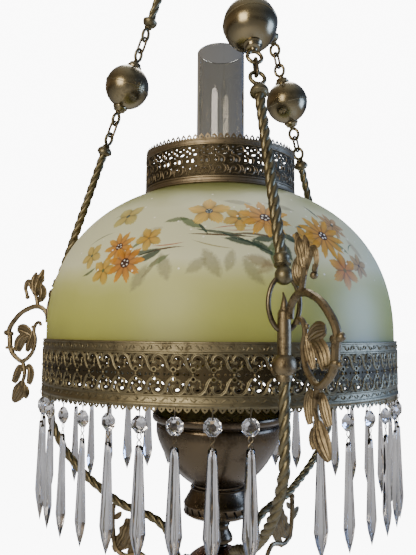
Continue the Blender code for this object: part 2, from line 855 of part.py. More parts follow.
def build_upper_bracket(index):
    """Leaf casting outside the post: an arch, an inner leaf on a loop, and leaves above and below."""
    out = POST_BODY_R + 2 * FIT + SCROLL_R
    arch = scroll(
        [(out, 0.018), (0.014, 0.031), (0.026, 0.0365), (0.044, 0.030), (0.057, 0.017), (0.063, 0.004)]
        + [(0.060, -0.010)],
        SCROLL_R,
        9,
    )
    loop = scroll(
        [(0.060, -0.009), (0.052, -0.020), (0.038, -0.028), (0.023, -0.020), (0.016, -0.007)]
        + [(0.020, 0.003), (0.030, 0.007)],
        0.0028,
        8,
    )
    pieces = [
        loop,
        leaf((0.037, 0.008), 0.020, 0.018, 35),
        leaf((0.042, -0.009), 0.026, 0.018, -10),
        leaf((0.063, 0.006), 0.016, 0.015, 90),
        scroll([(0.018, 0.034), (0.017, 0.043), (0.012, 0.056), (0.013, 0.066)], 0.0026, 5),
        leaf((0.015, 0.066), 0.036, 0.018, -18),
        leaf((0.013, 0.065), 0.018, 0.010, -30),
        leaf((0.030, 0.062), 0.028, 0.015, 60),
        leaf((0.038, 0.052), 0.021, 0.009, 8),
        scroll([(0.038, -0.027), (0.034, -0.036), (0.032, -0.050), (0.037, -0.060)], 0.0026, 5),
        leaf((0.025, -0.050), 0.027, 0.014, 8),
        leaf((0.043, -0.048), 0.026, 0.016, -18),
        leaf((0.038, -0.064), 0.030, 0.019, -12),
    ]
    bracket = fused(arch, *pieces)
    turn = Matrix.Rotation(math.radians(BRACKET_TURN_DEG[index]), 4, "Z")
    place = arm_frame(index) @ Matrix.Translation((POST_R, 0, 0)) @ turn
    keep(bracket, f"upper_bracket_{index + 1}", "antique_brass", place)


def build_lower_bracket(index):
    """Leaf casting that hangs from the arm's rod beside the hub, by a strap up to the rod."""
    strap_r = arm_reach(BRACKET_SHARE)
    strap_top = arm_height(strap_r) - ARM_ROD_R - BRACKET_SLOPE * SCROLL_R - 3 * FIT
    arch = scroll(
        [(0, 0), (0, -0.011), (-0.002, -0.040), (-0.018, -0.052), (-0.034, -0.047), (-0.046, -0.061)]
    )
    pieces = [
        leaf((-0.016, -0.029), 0.040, 0.020, 12),
        leaf((-0.030, -0.029), 0.026, 0.013, -35),
        leaf((-0.001, -0.022), 0.024, 0.012, 60),
        leaf((-0.048, -0.064), 0.016, 0.011, 10),
    ]
    place = arm_frame(index) @ Matrix.Translation((strap_r, 0, strap_top))
    keep(fused(arch, *pieces), f"lower_bracket_{index + 1}", "antique_brass", place)


# ---- ceiling fitting --------------------------------------------------------------------------------------
HOOK_LOW = -0.045  # centre of the hook's wire where the hanger rides
TOP_EYE_HIGH = HOOK_LOW - HANGER_SPAN  # centre of the crown's top eye wire at its highest


def build_ceiling_fitting():
    """Ceiling plate with its boss, the hook screwed through it and the long hanger link."""
    boss = -PLATE_THICK - 0.009
    plate = turned(
        "plate",
        [
            (0, 0),
            (PLATE_R - 0.001, 0),
            (PLATE_R, -0.001),
            (PLATE_R - 0.003, -PLATE_THICK + 0.001),
            (0.016, -PLATE_THICK - 0.002),
            (0.011, boss),
            (HOOK_WIRE + FIT, boss),
            (HOOK_WIRE + FIT, -PLATE_SKIN),
            (0, -PLATE_SKIN),
        ],
        24,
    )
    holes = []
    for k in range(3):
        hole = cylinder("hole", SCREW_HOLE_R, -0.02, 0.01, 10)
        hole.matrix_world = Matrix.Rotation(math.tau * (k + 0.5) / 3, 4, "Z") @ Matrix.Translation(
            (SCREW_CIRCLE_R, 0, 0)
        )
        holes.append(hole)
    keep(cut(plate, *holes), "ceiling_plate", "antique_brass")

    centre = HOOK_LOW + HOOK_R
    points = [(0, 0, -PLATE_SKIN - FIT), (0, 0, boss), (0, 0, centre + HOOK_R + 0.001)]
    for k in range(10):
        a = math.radians(115 + 245 * k / 9)
        points.append((HOOK_R * math.cos(a), 0, centre + HOOK_R * math.sin(a)))
    hook = tube("hook", points, HOOK_WIRE, False, 8)
    nut = cylinder("nut", 0.007, boss - 0.0035, boss - FIT, 6)
    keep(fused(hook, nut), "ceiling_hook", "dark_brass")

    wrap = HOOK_WIRE + FIT + HANGER_WIRE
    middle = (0, 0, (HOOK_LOW + TOP_EYE_HIGH) / 2)
    points = loop_points(wrap, HANGER_SPAN, middle, (0, 1, 0), (0, 0, 1), 6)
    keep(tube("hanger", points, HANGER_WIRE * 0.96, True, 8), "hanger_link", "dark_brass")


def build_chain_crown():
    """Turned crown that gathers the three legs, with one eye above and three lugs below."""
    eye_centre = TOP_EYE_HIGH - TOP_EYE_R
    base = LEG_HEAD - GALLERY_DROP
    top = eye_centre - TOP_EYE_R + 0.001
    body = turned(
        "crown_body",
        [
            (0, top),
            (0.005, top),
            (0.008, top - 0.004),
            (0.008, top - 0.008),
            (0.020, top - 0.014),
            (LEG_HEAD_R + 0.002, base + 0.016),
            (LEG_HEAD_R + 0.003, base + 0.012),
            (LEG_HEAD_R, base + 0.009),
            (0.012, base + 0.008),
            (0.008, base + 0.002),
            (0.004, base - 0.006),
            (0, base - 0.008),
        ],
        14,
    )
    pieces = [tube("top_eye", ring_points(TOP_EYE_R, 12, (0, 0, eye_centre)), 0.0025, True, 6)]
    for index in range(ARMS):
        reach = LEG_LENGTH - EYE_WIRE - FIT - EYE_WIRE + EYE_R
        lug = tube("lug", ring_points(EYE_R, 10, (0, 0, reach)), EYE_WIRE, True, 4)
        lug.matrix_world = leg_frame(index)
        pieces.append(lug)
    keep(fused(body, *pieces), "chain_crown", "antique_brass")


# ---- cut glass drops --------------------------------------------------------------------------------------
def drop_angle(arm, place):
    """Angle of a drop: place 0 is the empty one behind the arm."""
    return arm_angle(arm) + math.radians(DROP_PHASE_DEG + place * 360 / DROP_PITCHES)


def drop_solid():
    """One drop in its own frame: X outwards, Z up from the gallery's lower edge."""
    bead, top = -BEAD_BELOW, -SPEAR_TOP
    drop = turned(
        "drop",
        [
            (0, -DROP_GAP),
            (DROP_WIRE, -DROP_GAP),
            (DROP_WIRE, bead + BEAD_R),
            (BEAD_R, bead),
            (DROP_WIRE, bead - BEAD_R),
            (DROP_WIRE, top),
            (0.0030, top - 0.001),
            (0.0045, top - 0.012),
            (SPEAR_HALF_WIDTH, top - SPEAR_LENGTH * 0.74),
            (0, top - SPEAR_LENGTH),
        ],
        4,
    )
    drop.data.transform(Matrix.Rotation(math.pi / 2, 4, "Z"))
    drop.data.transform(Matrix.Diagonal((DROP_FLATNESS, 1, 1, 1)))
    return drop


def build_drops():
    """Single drops between the last arm and the front one; the other two spaces are strung on a wire."""
    pattern = drop_solid()
    lower_edge = HUNG @ Matrix.Translation((0, 0, -GALLERY_HEIGHT))
    per_space = DROP_PITCHES // ARMS - 1
    for place in range(1, per_space + 1):
        turn = Matrix.Rotation(drop_angle(ARMS - 1, place), 4, "Z")
        frame = lower_edge @ turn @ Matrix.Translation((DROP_RING_R, 0, 0))
        keep(copied(pattern), f"drop_{place:02d}", "clear_glass", frame)
    for arm in range(ARMS - 1):
        angles = [drop_angle(arm, place) for place in range(1, per_space + 1)]
        arc = [angles[0] + (angles[-1] - angles[0]) * k / (per_space - 1) for k in range(per_space)]
        wire_z = -DROP_GAP - 3 * DROP_WIRE
        reach = [(DROP_RING_R * math.cos(a), DROP_RING_R * math.sin(a), wire_z) for a in arc]
        row = tube("wire", reach, 1.3 * DROP_WIRE, False, 4)
        drops = []
        for angle in angles:
            drop = copied(pattern)
            drop.matrix_world = Matrix.Rotation(angle, 4, "Z") @ Matrix.Translation(
                (DROP_RING_R, 0, 0)
            )
            drops.append(drop)
        keep(fused(row, *drops), f"drop_row_{arm + 1}", "clear_glass", lower_edge)
    bpy.data.objects.remove(pattern, do_unlink=True)


def main():
    build_ceiling_fitting()
    build_chain_crown()
    for index in range(ARMS):
        build_leg(index)
        build_arm(index)
        build_upper_bracket(index)
        build_lower_bracket(index)
    build_gallery()
    build_dome()
    build_crown()
    build_font()
    build_burner()
    build_wick()
    build_flame_spreader()
    build_chimney()
    build_font_holder()
    build_hub()
    build_drops()


main()
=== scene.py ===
"""Looks of a three-arm hanging oil lamp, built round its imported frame.

Sizes are metres unless a name ends in _mm, +Z is up, and heights are given from the gallery's top rim.
"""

from __future__ import annotations

import logging
import math
from collections.abc import Iterator, Sequence
from contextlib import contextmanager
from dataclasses import dataclass, field
from enum import Enum
from functools import partial

import bpy
from mathutils import Matrix, Vector


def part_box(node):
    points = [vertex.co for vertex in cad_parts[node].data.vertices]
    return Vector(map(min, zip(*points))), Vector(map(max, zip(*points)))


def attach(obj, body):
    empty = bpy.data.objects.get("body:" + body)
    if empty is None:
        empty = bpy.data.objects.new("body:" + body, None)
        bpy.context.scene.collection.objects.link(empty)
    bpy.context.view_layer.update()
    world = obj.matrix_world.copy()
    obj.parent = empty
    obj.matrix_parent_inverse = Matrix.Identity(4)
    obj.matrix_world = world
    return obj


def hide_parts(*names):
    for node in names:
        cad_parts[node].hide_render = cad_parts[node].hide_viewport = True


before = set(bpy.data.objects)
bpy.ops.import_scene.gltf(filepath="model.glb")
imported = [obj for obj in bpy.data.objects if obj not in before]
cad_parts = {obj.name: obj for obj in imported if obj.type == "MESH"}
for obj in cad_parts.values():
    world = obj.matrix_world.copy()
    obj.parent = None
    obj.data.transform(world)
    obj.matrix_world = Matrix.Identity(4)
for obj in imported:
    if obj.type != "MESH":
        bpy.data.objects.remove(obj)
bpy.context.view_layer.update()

log = logging.getLogger("oil_lamp")
MM = 0.001
RIM_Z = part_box("shade_gallery")[1].z
GALLERY_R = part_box("shade_gallery")[1].x
POST_R = GALLERY_R + 0.021
ARMS = 3
FRONT_ARM_DEG = -90.0
HUB_CENTRE = -0.257
HUB_R = 0.043
LEG_FOOT = 0.051
LEG_HEAD = 0.56
LEG_HEAD_R = 0.0185
LEG_LEAN = math.atan2(POST_R - LEG_HEAD_R, LEG_HEAD - LEG_FOOT)
LEG_LENGTH = math.hypot(POST_R - LEG_HEAD_R, LEG_HEAD - LEG_FOOT)
HUNG = Matrix.Translation((0, 0, RIM_Z))

Point = Sequence[float]
Obj = bpy.types.Object
Tree = bpy.types.NodeTree
Socket = bpy.types.NodeSocket
Material = bpy.types.Material


def slid(x: float, y: float, z: float) -> Matrix:
    """Move by (x, y, z).

    Returns:
        The matrix.
    """
    return Matrix.Translation((x, y, z))


def spun(angle: float, axis: str) -> Matrix:
    """Turn about a world axis.

    Args:
        angle: Angle in radians.
        axis: "X", "Y" or "Z".

    Returns:
        The matrix.
    """
    return Matrix.Rotation(angle, 4, axis)


class Slot(Enum):
    """The record's material slots."""

    ANTIQUE = "antique_brass"
    DARK = "dark_brass"
    BRIGHT = "bright_brass"
    SHADE = "shade_glass"
    CLEAR = "clear_glass"
    COTTON = "wick_cotton"


class Body(Enum):
    """The moving bodies that the pieces ride on, apart from the single drops."""

    CEILING = "ceiling"
    HANGER = "hanger"
    FRAME = "lamp_frame"
    SHADE = "shade"
    FONT = "font"
    CHIMNEY = "chimney"
    WICK = "wick"
    KNOB = "wick_knob"
    CAP = "filler_cap"


# ---- bench tools: selection, primitives, turning, bending, joining ----------------------------------------
def pick(*objs: Obj) -> None:
    """Select only these objects, the first one active, in object mode.

    Args:
        objs: the objects to select.
    """
    if bpy.context.object and bpy.context.object.mode != "OBJECT":
        bpy.ops.object.mode_set(mode="OBJECT")
    bpy.ops.object.select_all(action="DESELECT")
    for obj in objs:
        obj.select_set(True)
    if objs:
        bpy.context.view_layer.objects.active = objs[0]


@contextmanager
def editing(obj: Obj) -> Iterator[None]:
    """Edit mode on one object with all of it selected.

    Args:
        obj: the mesh object to edit.
    """
    pick(obj)
    bpy.ops.object.mode_set(mode="EDIT")
    bpy.ops.mesh.select_all(action="SELECT")
    yield
    bpy.ops.object.mode_set(mode="OBJECT")


def settled(name: str) -> Obj:
    """Name the active object and bake its place into its mesh.

    Args:
        name: the object's new name.

    Returns:
        The object, at the origin.
    """
    obj = bpy.context.object
    obj.name = name
    bpy.ops.object.transform_apply(location=True, rotation=True, scale=True)
    return obj


def modified(obj: Obj, kind: str, **settings: object) -> Obj:
    """Add a modifier and apply it.

    Args:
        obj: the object to shape.
        kind: the modifier's type.
        settings: its settings by name.

    Returns:
        The same object.
    """
    pick(obj)
    step = obj.modifiers.new(kind, kind)
    for name, value in settings.items():
        setattr(step, name, value)
    bpy.ops.object.modifier_apply(modifier=step.name)
    return obj


def moved(obj: Obj, matrix: Matrix) -> Obj:
    """Move the mesh, not the object.

    Args:
        obj: the object whose mesh moves.
        matrix: where to.

    Returns:
        The same object.
    """
    obj.data.transform(matrix)
    return obj


def twin(obj: Obj, name: str, matrix: Matrix) -> Obj:
    """A copy with its own mesh, moved.

    Args:
        obj: the pattern.
        name: the copy's name.
        matrix: where the copy goes.

    Returns:
        The copy.
    """
    copy = obj.copy()
    copy.data = obj.data.copy()
    copy.name = name
    bpy.context.scene.collection.objects.link(copy)
    return moved(copy, matrix)


def joined(name: str, objs: Sequence[Obj]) -> Obj:
    """Join objects into one.

    Args:
        name: the name of the result.
        objs: what to join.

    Returns:
        The joined object.
    """
    pick(*objs)
    if len(objs) > 1:
        bpy.ops.object.join()
    objs[0].name = name
    return objs[0]


def repeated(name: str, unit: Obj, places: Sequence[Matrix]) -> Obj:
    """Copy a pattern to every place and join the copies; the pattern is used up.

    Args:
        name: the name of the result.
        unit: the pattern.
        places: one matrix a copy.

    Returns:
        The joined copies.
    """
    copies = [twin(unit, f"{name}_{k}", place) for k, place in enumerate(places)]
    bpy.data.objects.remove(unit, do_unlink=True)
    return joined(name, copies)


def drawn(name: str, points: Sequence[Point], closed: bool = False) -> Obj:
    """A curve object with one straight-run spline.

    Args:
        name: the object's name.
        points: the points it runs through.
        closed: join the last point to the first.

    Returns:
        The curve object, at the origin.
    """
    pick()
    bpy.ops.curve.primitive_nurbs_path_add(location=(0, 0, 0))
    path = bpy.context.object
    path.name = name
    path.data.splines.clear()
    spline = path.data.splines.new("POLY")
    spline.points.add(len(points) - 1)
    for point, place in zip(spline.points, points):
        point.co = (*place, 1.0)
        point.radius = 1.0
    spline.use_cyclic_u = closed
    return path


def meshed(path: Obj, weld: float = 1e-6) -> Obj:
    """Convert a curve to a mesh with its doubles merged.

    Args:
        path: the curve object.
        weld: distance within which points merge.

    Returns:
        The mesh object.
    """
    pick(path)
    bpy.ops.object.convert(target="MESH")
    obj = bpy.context.object
    with editing(obj):
        bpy.ops.mesh.remove_doubles(threshold=weld)
    return obj


def offset(radius: float, height: float, *steps: Sequence[float]) -> list[tuple[float, float]]:
    """Place outline points that are given in mm from a base point.

    Args:
        radius: Radius of the base point.
        height: Height of the base point.
        steps: (out, up) of each point, in mm.

    Returns:
        (radius, height) pairs in m.
    """
    return [(radius + out * MM, height + up * MM) for out, up in steps]


def turned(name: str, outline: Sequence[tuple[float, float]], steps: int = 64, place: Matrix = HUNG) -> Obj:
    """Draw an outline and spin it round Z.

    Args:
        name: the object's name.
        outline: (radius, height) points; repeat the first to close a wall.
        steps: sides of the turned piece.
        place: where it goes; by default heights are from the gallery's rim.

    Returns:
        The turned object.
    """
    obj = meshed(drawn(name, [(r, 0, z) for r, z in outline]))
    with editing(obj):
        bpy.ops.mesh.spin(steps=steps, angle=math.tau, center=(0, 0, 0), axis=(0, 0, 1), use_auto_merge=True)
        bpy.ops.mesh.select_all(action="SELECT")
        bpy.ops.mesh.remove_doubles(threshold=2e-6)
        bpy.ops.mesh.normals_make_consistent(inside=False)
    return moved(obj, place)


def smooth_run(points: Sequence[Point], step: float, closed: bool = False) -> list[Vector]:
    """Evenly spaced points on a smooth curve through the given ones.

    Args:
        points: the curve's own points.
        step: rough spacing of the result.
        closed: whether the curve is a loop.

    Returns:
        The points.
    """
    knots = [Vector(p) for p in points]
    count = len(knots)
    spans = count if closed else count - 1
    dense: list[Vector] = []
    for k in range(spans):
        near = [knots[(k + shift) % count] if closed else knots[min(max(k + shift, 0), count - 1)]
            for shift in (-1, 0, 1, 2)]
        a, b, c, d = near
        for part in range(24):
            t = part / 24
            dense.append(0.5 * (2 * b + (c - a) * t + (2 * a - 5 * b + 4 * c - d) * t**2 + (3 * b - a - 3 * c + d)
                * t**3))
    dense.append(knots[0] if closed else knots[-1])
    gone = [0.0]
    for p, q in zip(dense, dense[1:]):
        gone.append(gone[-1] + (q - p).length)
    pieces = max(int(round(gone[-1] / step)), 3)
    found, at = [], 0
    for k in range(pieces if closed else pieces + 1):
        want = gone[-1] * k / pieces
        while at < len(gone) - 2 and gone[at + 1] < want:
            at += 1
        share = (want - gone[at]) / max(gone[at + 1] - gone[at], 1e-12)
        found.append(dense[at].lerp(dense[at + 1], share))
    return found


def wire(name: str, points: Sequence[Point], radius: float, closed: bool = False, sides: int = 8,
        taper: Sequence[float] = ()) -> Obj:
    """A round wire or rod along points.

    Args:
        name: the object's name.
        points: its centre line.
        radius: its radius.
        closed: a ring or loop.
        sides: an even number of sides.
        taper: share of the radius at each point, if it changes.

    Returns:
        The wire's mesh object.
    """
    path = drawn(name, points, closed)
    path.data.dimensions = "3D"
    path.data.bevel_depth = radius
    path.data.bevel_resolution = max((sides - 4) // 2, 0)
    path.data.use_fill_caps = not closed
    for point, share in zip(path.data.splines[0].points, taper):
        point.radius = share
    return meshed(path)


def swept(name: str, points: Sequence[Point], section: Sequence[tuple[float, float]], widths: Sequence[float] = (),
        tilt: float = 0.0, lead: float = 0.0) -> Obj:
    """A closed section drawn along points, growing, shrinking or twisting on the way.

    Args:
        name: the object's name.
        points: its centre line, evenly spaced.
        section: outline of the section.
        widths: share of the section's size at each point.
        tilt: turn of the section, in radians.
        lead: length in which a twisted section goes round once.

    Returns:
        The swept mesh object.
    """
    outline = drawn(name + "_section", [(x, y, 0) for x, y in section], True)
    outline.data.dimensions = "2D"
    outline.data.fill_mode = "NONE"
    path = drawn(name, points)
    path.data.dimensions = "3D"
    path.data.bevel_mode = "OBJECT"
    path.data.bevel_object = outline
    path.data.use_fill_caps = True
    gone = 0.0
    run = path.data.splines[0].points
    for k, point in enumerate(run):
        if k:
            gone += (point.co.xyz - run[k - 1].co.xyz).length
        point.tilt = tilt + (math.tau * gone / lead if lead else 0.0)
        if widths:
            point.radius = widths[k]
    obj = meshed(path)
    bpy.data.objects.remove(outline, do_unlink=True)
    with editing(obj):
        bpy.ops.mesh.normals_make_consistent(inside=False)
    return obj


def rod(name: str, radius: float, low: float, high: float, sides: int = 16) -> Obj:
    """A short round bar along Z with its ends bevelled.

    Args:
        name: the object's name.
        radius: the bar's radius.
        low: its lower end.
        high: its upper end.
        sides: sides of the bar.

    Returns:
        The bar.
    """
    pick()
    bpy.ops.mesh.primitive_cylinder_add(vertices=sides, radius=radius, depth=high - low,
        location=(0, 0, (low + high) / 2))
    obj = settled(name)
    soft = min(radius, high - low) * 0.12
    return modified(obj, "BEVEL", width=soft, segments=2, limit_method="ANGLE", angle_limit=0.6)


def lump(name: str, centre: Point, size: Point, turn: float = 0.0) -> Obj:
    """A small rounded lump, cast on: a cube rounded off and stretched.

    Args:
        name: the object's name.
        centre: its middle.
        size: its half sizes.
        turn: its turn round Y, in radians.

    Returns:
        The lump.
    """
    pick()
    bpy.ops.mesh.primitive_cube_add(size=2, location=(0, 0, 0))
    obj = settled(name)
    modified(obj, "SUBSURF", levels=2, render_levels=2)
    moved(obj, Matrix.Diagonal((*size, 1)))
    return moved(obj, Matrix.Translation(centre) @ spun(turn, "Y"))


def loop_outline(radius: float, span: float, centre: Point, across: Point, along: Point,
        arc: int = 8) -> list[Vector]:
    """Outline of a long link: two half circles with straight sides.

    Args:
        radius: radius of the half circles.
        span: distance between their centres.
        centre: the link's middle.
        across: direction of its width.
        along: direction of its length.
        arc: pieces in each half circle.

    Returns:
        The outline's points.
    """
    middle, side, tip = Vector(centre), Vector(across), Vector(along)
    found = []
    for end in (1, -1):
        for k in range(arc + 1):
            a = math.pi * k / arc
            bend = side * math.cos(a) * end + tip * math.sin(a) * end
            found.append(middle + tip * (end * span / 2) + radius * bend)
    return found


def ring_run(radius: float, count: int, centre: Point, across: Point, up: Point) -> list[Vector]:
    """Points round a circle.

    Args:
        radius: its radius.
        count: how many points.
        centre: its middle.
        across: one direction in its plane.
        up: the other.

    Returns:
        The points.
    """
    turns = [math.tau * k / count for k in range(count)]
    return [Vector(centre) + radius * (math.cos(a) * Vector(across) + math.sin(a) * Vector(up)) for a in turns]


def rounded_off(obj: Obj, angle: float = 40.0) -> Obj:
    """Smooth shading with edges sharper than an angle kept crisp.

    Args:
        obj: the object.
        angle: the angle in degrees.

    Returns:
        The same object.
    """
    pick(obj)
    bpy.ops.object.shade_smooth_by_angle(angle=math.radians(angle))
    return obj


def fitted(obj: Obj, body: Body | str, material: Material, slot: Slot, *nodes: str,
        angle: float | None = 40.0) -> Obj:
    """Dress a finished piece, mount it on its body and name what it stands for.

    Args:
        obj: the piece.
        body: the body that it rides on.
        material: its finish.
        slot: the record's slot for it.
        nodes: the frame's nodes that it stands for.
        angle: smoothing angle in degrees, or None for flat facets.

    Returns:
        The piece.
    """
    obj.data.materials.clear()
    obj.data.materials.append(material)
    if angle is not None:
        rounded_off(obj, angle)
    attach(obj, body.value if isinstance(body, Body) else body)
    if nodes:
        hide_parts(*nodes)
    log.info("%s: %d faces on %s", obj.name, len(obj.data.polygons), body)
    return obj


def arm_place(index: int) -> Matrix:
    """Frame of one arm: X out along it, heights from the gallery's rim."""
    return HUNG @ spun(math.radians(FRONT_ARM_DEG + index * 360 / ARMS), "Z")


def leg_place(index: int) -> Matrix:
    """Frame of one leg: Z up along it from its foot, X away from the lamp's axis."""
    foot = slid(POST_R, 0, LEG_FOOT)
    return arm_place(index) @ foot @ spun(-LEG_LEAN, "Y")


# ---- finishes -------------------------------------------------------------------------------------------
def linear(colour: str) -> tuple[float, float, float, float]:
    """Linear colour from an sRGB hex value such as "#8A7444".

    Args:
        colour: the hex value.

    Returns:
        Red, green, blue and alpha.
    """
    parts = [int(colour[k : k + 2], 16) / 255 for k in (1, 3, 5)]
    low, high = [[c / 12.92 for c in parts], [((c + 0.055) / 1.055) ** 2.4 for c in parts]]
    return (*[a if c <= 0.04045 else b for c, a, b in zip(parts, low, high)], 1.0)


def feed(tree: Tree, node: bpy.types.Node, inputs: dict[str | int, object]) -> None:
    """Set or link a node's inputs.

    Args:
        tree: the tree it is in.
        node: the node.
        inputs: for each input, a value, or the socket or node to link from.
    """
    for name, value in inputs.items():
        if isinstance(value, bpy.types.Node):
            value = next(socket for socket in value.outputs if socket.enabled)
        if isinstance(value, Socket):
            tree.links.new(value, node.inputs[name])
        else:
            node.inputs[name].default_value = value


def add_node(tree: Tree, kind: str, inputs: dict[str | int, object] | Sequence[object] = (),
        stops: Sequence[tuple[float, str]] = (), **settings: object) -> bpy.types.Node:
    """Add one node with its settings, its colour stops, its fixed inputs and its links.

    Args:
        tree: the tree it goes in.
        kind: the node's type, without its leading "ShaderNode".
        inputs: for each input, by name or in order, a value, or the socket or node to link from.
        stops: (place, hex colour) of a colour ramp.
        settings: its properties by name.

    Returns:
        The node.
    """
    node = tree.nodes.new(kind if kind.startswith("NodeGroup") else "ShaderNode" + kind)
    for name, value in settings.items():
        setattr(node, name, value)
    for place, colour in stops[: len(stops) - 2]:
        node.color_ramp.elements.new(place)
    for k, (place, colour) in enumerate(stops):
        node.color_ramp.elements[k].position = place
        node.color_ramp.elements[k].color = linear(colour)
    feed(tree, node, inputs if isinstance(inputs, dict) else dict(enumerate(inputs)))
    return node


def new_material(name: str) -> tuple[Material, Tree, bpy.types.Node]:
    """A material with only its shader.

    Args:
        name: the material's name.

    Returns:
        The material, its tree and its Principled shader.
    """
    material = bpy.data.materials.new(name)
    material.use_nodes = True
    return material, material.node_tree, material.node_tree.nodes["Principled BSDF"]


@dataclass(frozen=True)
class Brass:
    """Brass under a dark lacquered patina, rubbed bright on its edges.

    Copper and zinc, so a yellow metal; the patina is brown and gathers in hollows. Grit is the sand of a
    casting or the drawing marks of a rod.
    """

    name: str
    lit: str = "#8B7A4C"
    dark: str = "#3E3420"
    rub: str = "#C9A867"
    roughness: float = 0.36
    mottle_mm: float = 14.0  # size of the patina's clouds
    grit_mm: float = 1.4  # grain of the surface
    grit_depth_mm: float = 0.1
    rub_from: float = 0.515  # how convex an edge has to be before the patina is worn through
    rub_full: float = 0.6
    cover: float = 0.5  # share of the surface that the dark patina covers

    def material(self) -> Material:
        """Build the material.

        Returns:
            The material.
        """
        found = bpy.data.materials.get(self.name)
        if found:
            return found
        material, tree, shader = new_material(self.name)
        node = partial(add_node, tree)
        at = node("TexCoord").outputs["Object"]
        clouds = node("TexNoise", {"Vector": at, "Scale": 1 / (self.mottle_mm * MM), "Detail": 5.0,
            "Roughness": 0.62})
        grit = node("TexNoise", {"Vector": at, "Scale": 1 / (self.grit_mm * MM), "Detail": 2.0, "Roughness": 0.55})
        mixed = node("Math", {0: grit.outputs["Fac"], 1: 0.3, 2: clouds.outputs["Fac"]}, operation="MULTIPLY_ADD")
        low = 0.42 + 0.36 * self.cover
        patina = node("ValToRGB", {"Fac": mixed.outputs[0]}, stops=[(low - 0.14, self.dark), (low + 0.03, self.lit),
            (low + 0.3, self.lit)])
        edge = node("MapRange", {"Value": node("NewGeometry").outputs["Pointiness"], "From Min": self.rub_from,
            "From Max": self.rub_full, "To Max": 0.85})
        worn = node("Math", {0: edge.outputs["Result"], 1: node("Math", {0: grit.outputs["Fac"], 1: 3.0, 2: -0.8},
            operation="MULTIPLY_ADD", use_clamp=True)}, operation="MULTIPLY", use_clamp=True)
        colour = node("Mix", {"Factor": worn.outputs[0], 6: patina, 7: linear(self.rub)}, data_type="RGBA")
        gloss = node("MapRange", {"Value": clouds.outputs["Fac"], "From Min": 0.3, "From Max": 0.7,
            "To Min": self.roughness + 0.1, "To Max": self.roughness - 0.06})
        bump = node("Bump", {"Height": grit.outputs["Fac"], "Strength": 0.8, "Distance": self.grit_depth_mm * MM})
        shader.inputs["Metallic"].default_value = 1.0
        feed(tree, shader, {"Base Color": colour})
        feed(tree, shader, {"Roughness": gloss})
        feed(tree, shader, {"Normal": bump})
        return material


# sand-cast antique brass: pebbled, dark in the hollows, golden where hands have rubbed it
CAST_BRASS = Brass("cast_antique_brass", "#7D7056", "#453C2D", "#9C865E", 0.44, 10.0, 1.5, 0.24, 0.62, 0.85, 0.5)
# pressed sheet brass: crisp ridges under an olive patina
PRESSED_BRASS = Brass("pressed_antique_brass", "#7C745A", "#524B38", "#A09068", 0.4, 12.0, 1.0, 0.08, 0.58, 0.78,
    0.42)
# the ground between the ridges, darkened as painted shade: the shade that falls in the recesses and behind the
# holes
RECESS_SHADE_BRASS = Brass("pierced_brass_painted_shade", "#453E2E", "#2A2519", "#6A5F44", 0.5, 9.0, 1.0, 0.1, 0.6, 0.8, 0.45)
# the crown has had the heat of the flame: browner
CROWN_BRASS = Brass("heat_browned_sheet_brass", "#7A6E58", "#4C4334", "#98845E", 0.43, 10.0, 1.0, 0.1, 0.58, 0.78,
    0.42)
# twisted drawn rod: smoother, with greenish brass lights
ROD_BRASS = Brass("twisted_brass_rod", "#766E54", "#4A4432", "#94885F", 0.42, 16.0, 2.0, 0.06, 0.55, 0.75, 0.45)
# spun hollow balls: a glossy lacquer over the patina
SPUN_BRASS = Brass("spun_antique_brass", "#857A5E", "#625A44", "#A0906A", 0.25, 22.0, 3.0, 0.03, 0.55, 0.72, 0.4)
# the hub ball has turned coppery
HUB_BRASS = Brass("coppery_spun_brass", "#80604A", "#4A3428", "#A5805F", 0.26, 20.0, 2.5, 0.04, 0.55, 0.72, 0.45)
# drawn wire and links, nearly black
WIRE_BRASS = Brass("blackened_brass_wire", "#6E6450", "#38322A", "#8A7C5A", 0.34, 8.0, 1.5, 0.04, 0.6, 0.8, 0.5)
# burner and font: spun brass, darkened
BURNER_BRASS = Brass("polished_burner_brass", "#94805A", "#62523A", "#B09A6C", 0.26, 18.0, 2.2, 0.03, 0.55, 0.72,
    0.4)
FONT_BRASS = Brass("spun_font_brass", "#5C5140", "#443A2C", "#70634A", 0.24, 26.0, 2.4, 0.02, 0.6, 0.8, 0.42)


@dataclass(frozen=True)
class ClearGlass:
    """Soda-lime or lead glass, clear, with a faint waviness from blowing or cutting."""

    name: str
    tint: str = "#F4F6F4"
    ior: float = 1.52
    roughness: float = 0.02
    wave_mm: float = 18.0
    wave_depth_mm: float = 0.02

    def material(self) -> Material:
        """Build the material.

        Returns:
            The material.
        """
        found = bpy.data.materials.get(self.name)
        if found:
            return found
        material, tree, shader = new_material(self.name)
        node = partial(add_node, tree)
        at = node("TexCoord").outputs["Object"]
        wave = node("TexNoise", {"Vector": at, "Scale": 1 / (self.wave_mm * MM), "Detail": 1.0})
        bump = node("Bump", {"Height": wave.outputs["Fac"], "Strength": 0.5, "Distance": self.wave_depth_mm * MM})
        shader.inputs["Base Color"].default_value = linear(self.tint)
        shader.inputs["Roughness"].default_value = self.roughness
        shader.inputs["IOR"].default_value = self.ior
        shader.inputs["Transmission Weight"].default_value = 1.0
        feed(tree, shader, {"Normal": bump})
        return material


# blown soda-lime tube, tinted a little grey so that it reads darker
CHIMNEY_GLASS = ClearGlass("blown_soda_lime_glass", "#DCDAD2", 1.52, 0.03, 22.0, 0.03)
# cut lead crystal: a higher index, sharp facets
CRYSTAL = ClearGlass("cut_lead_crystal", "#F8F8F8", 1.6, 0.01, 9.0, 0.004)


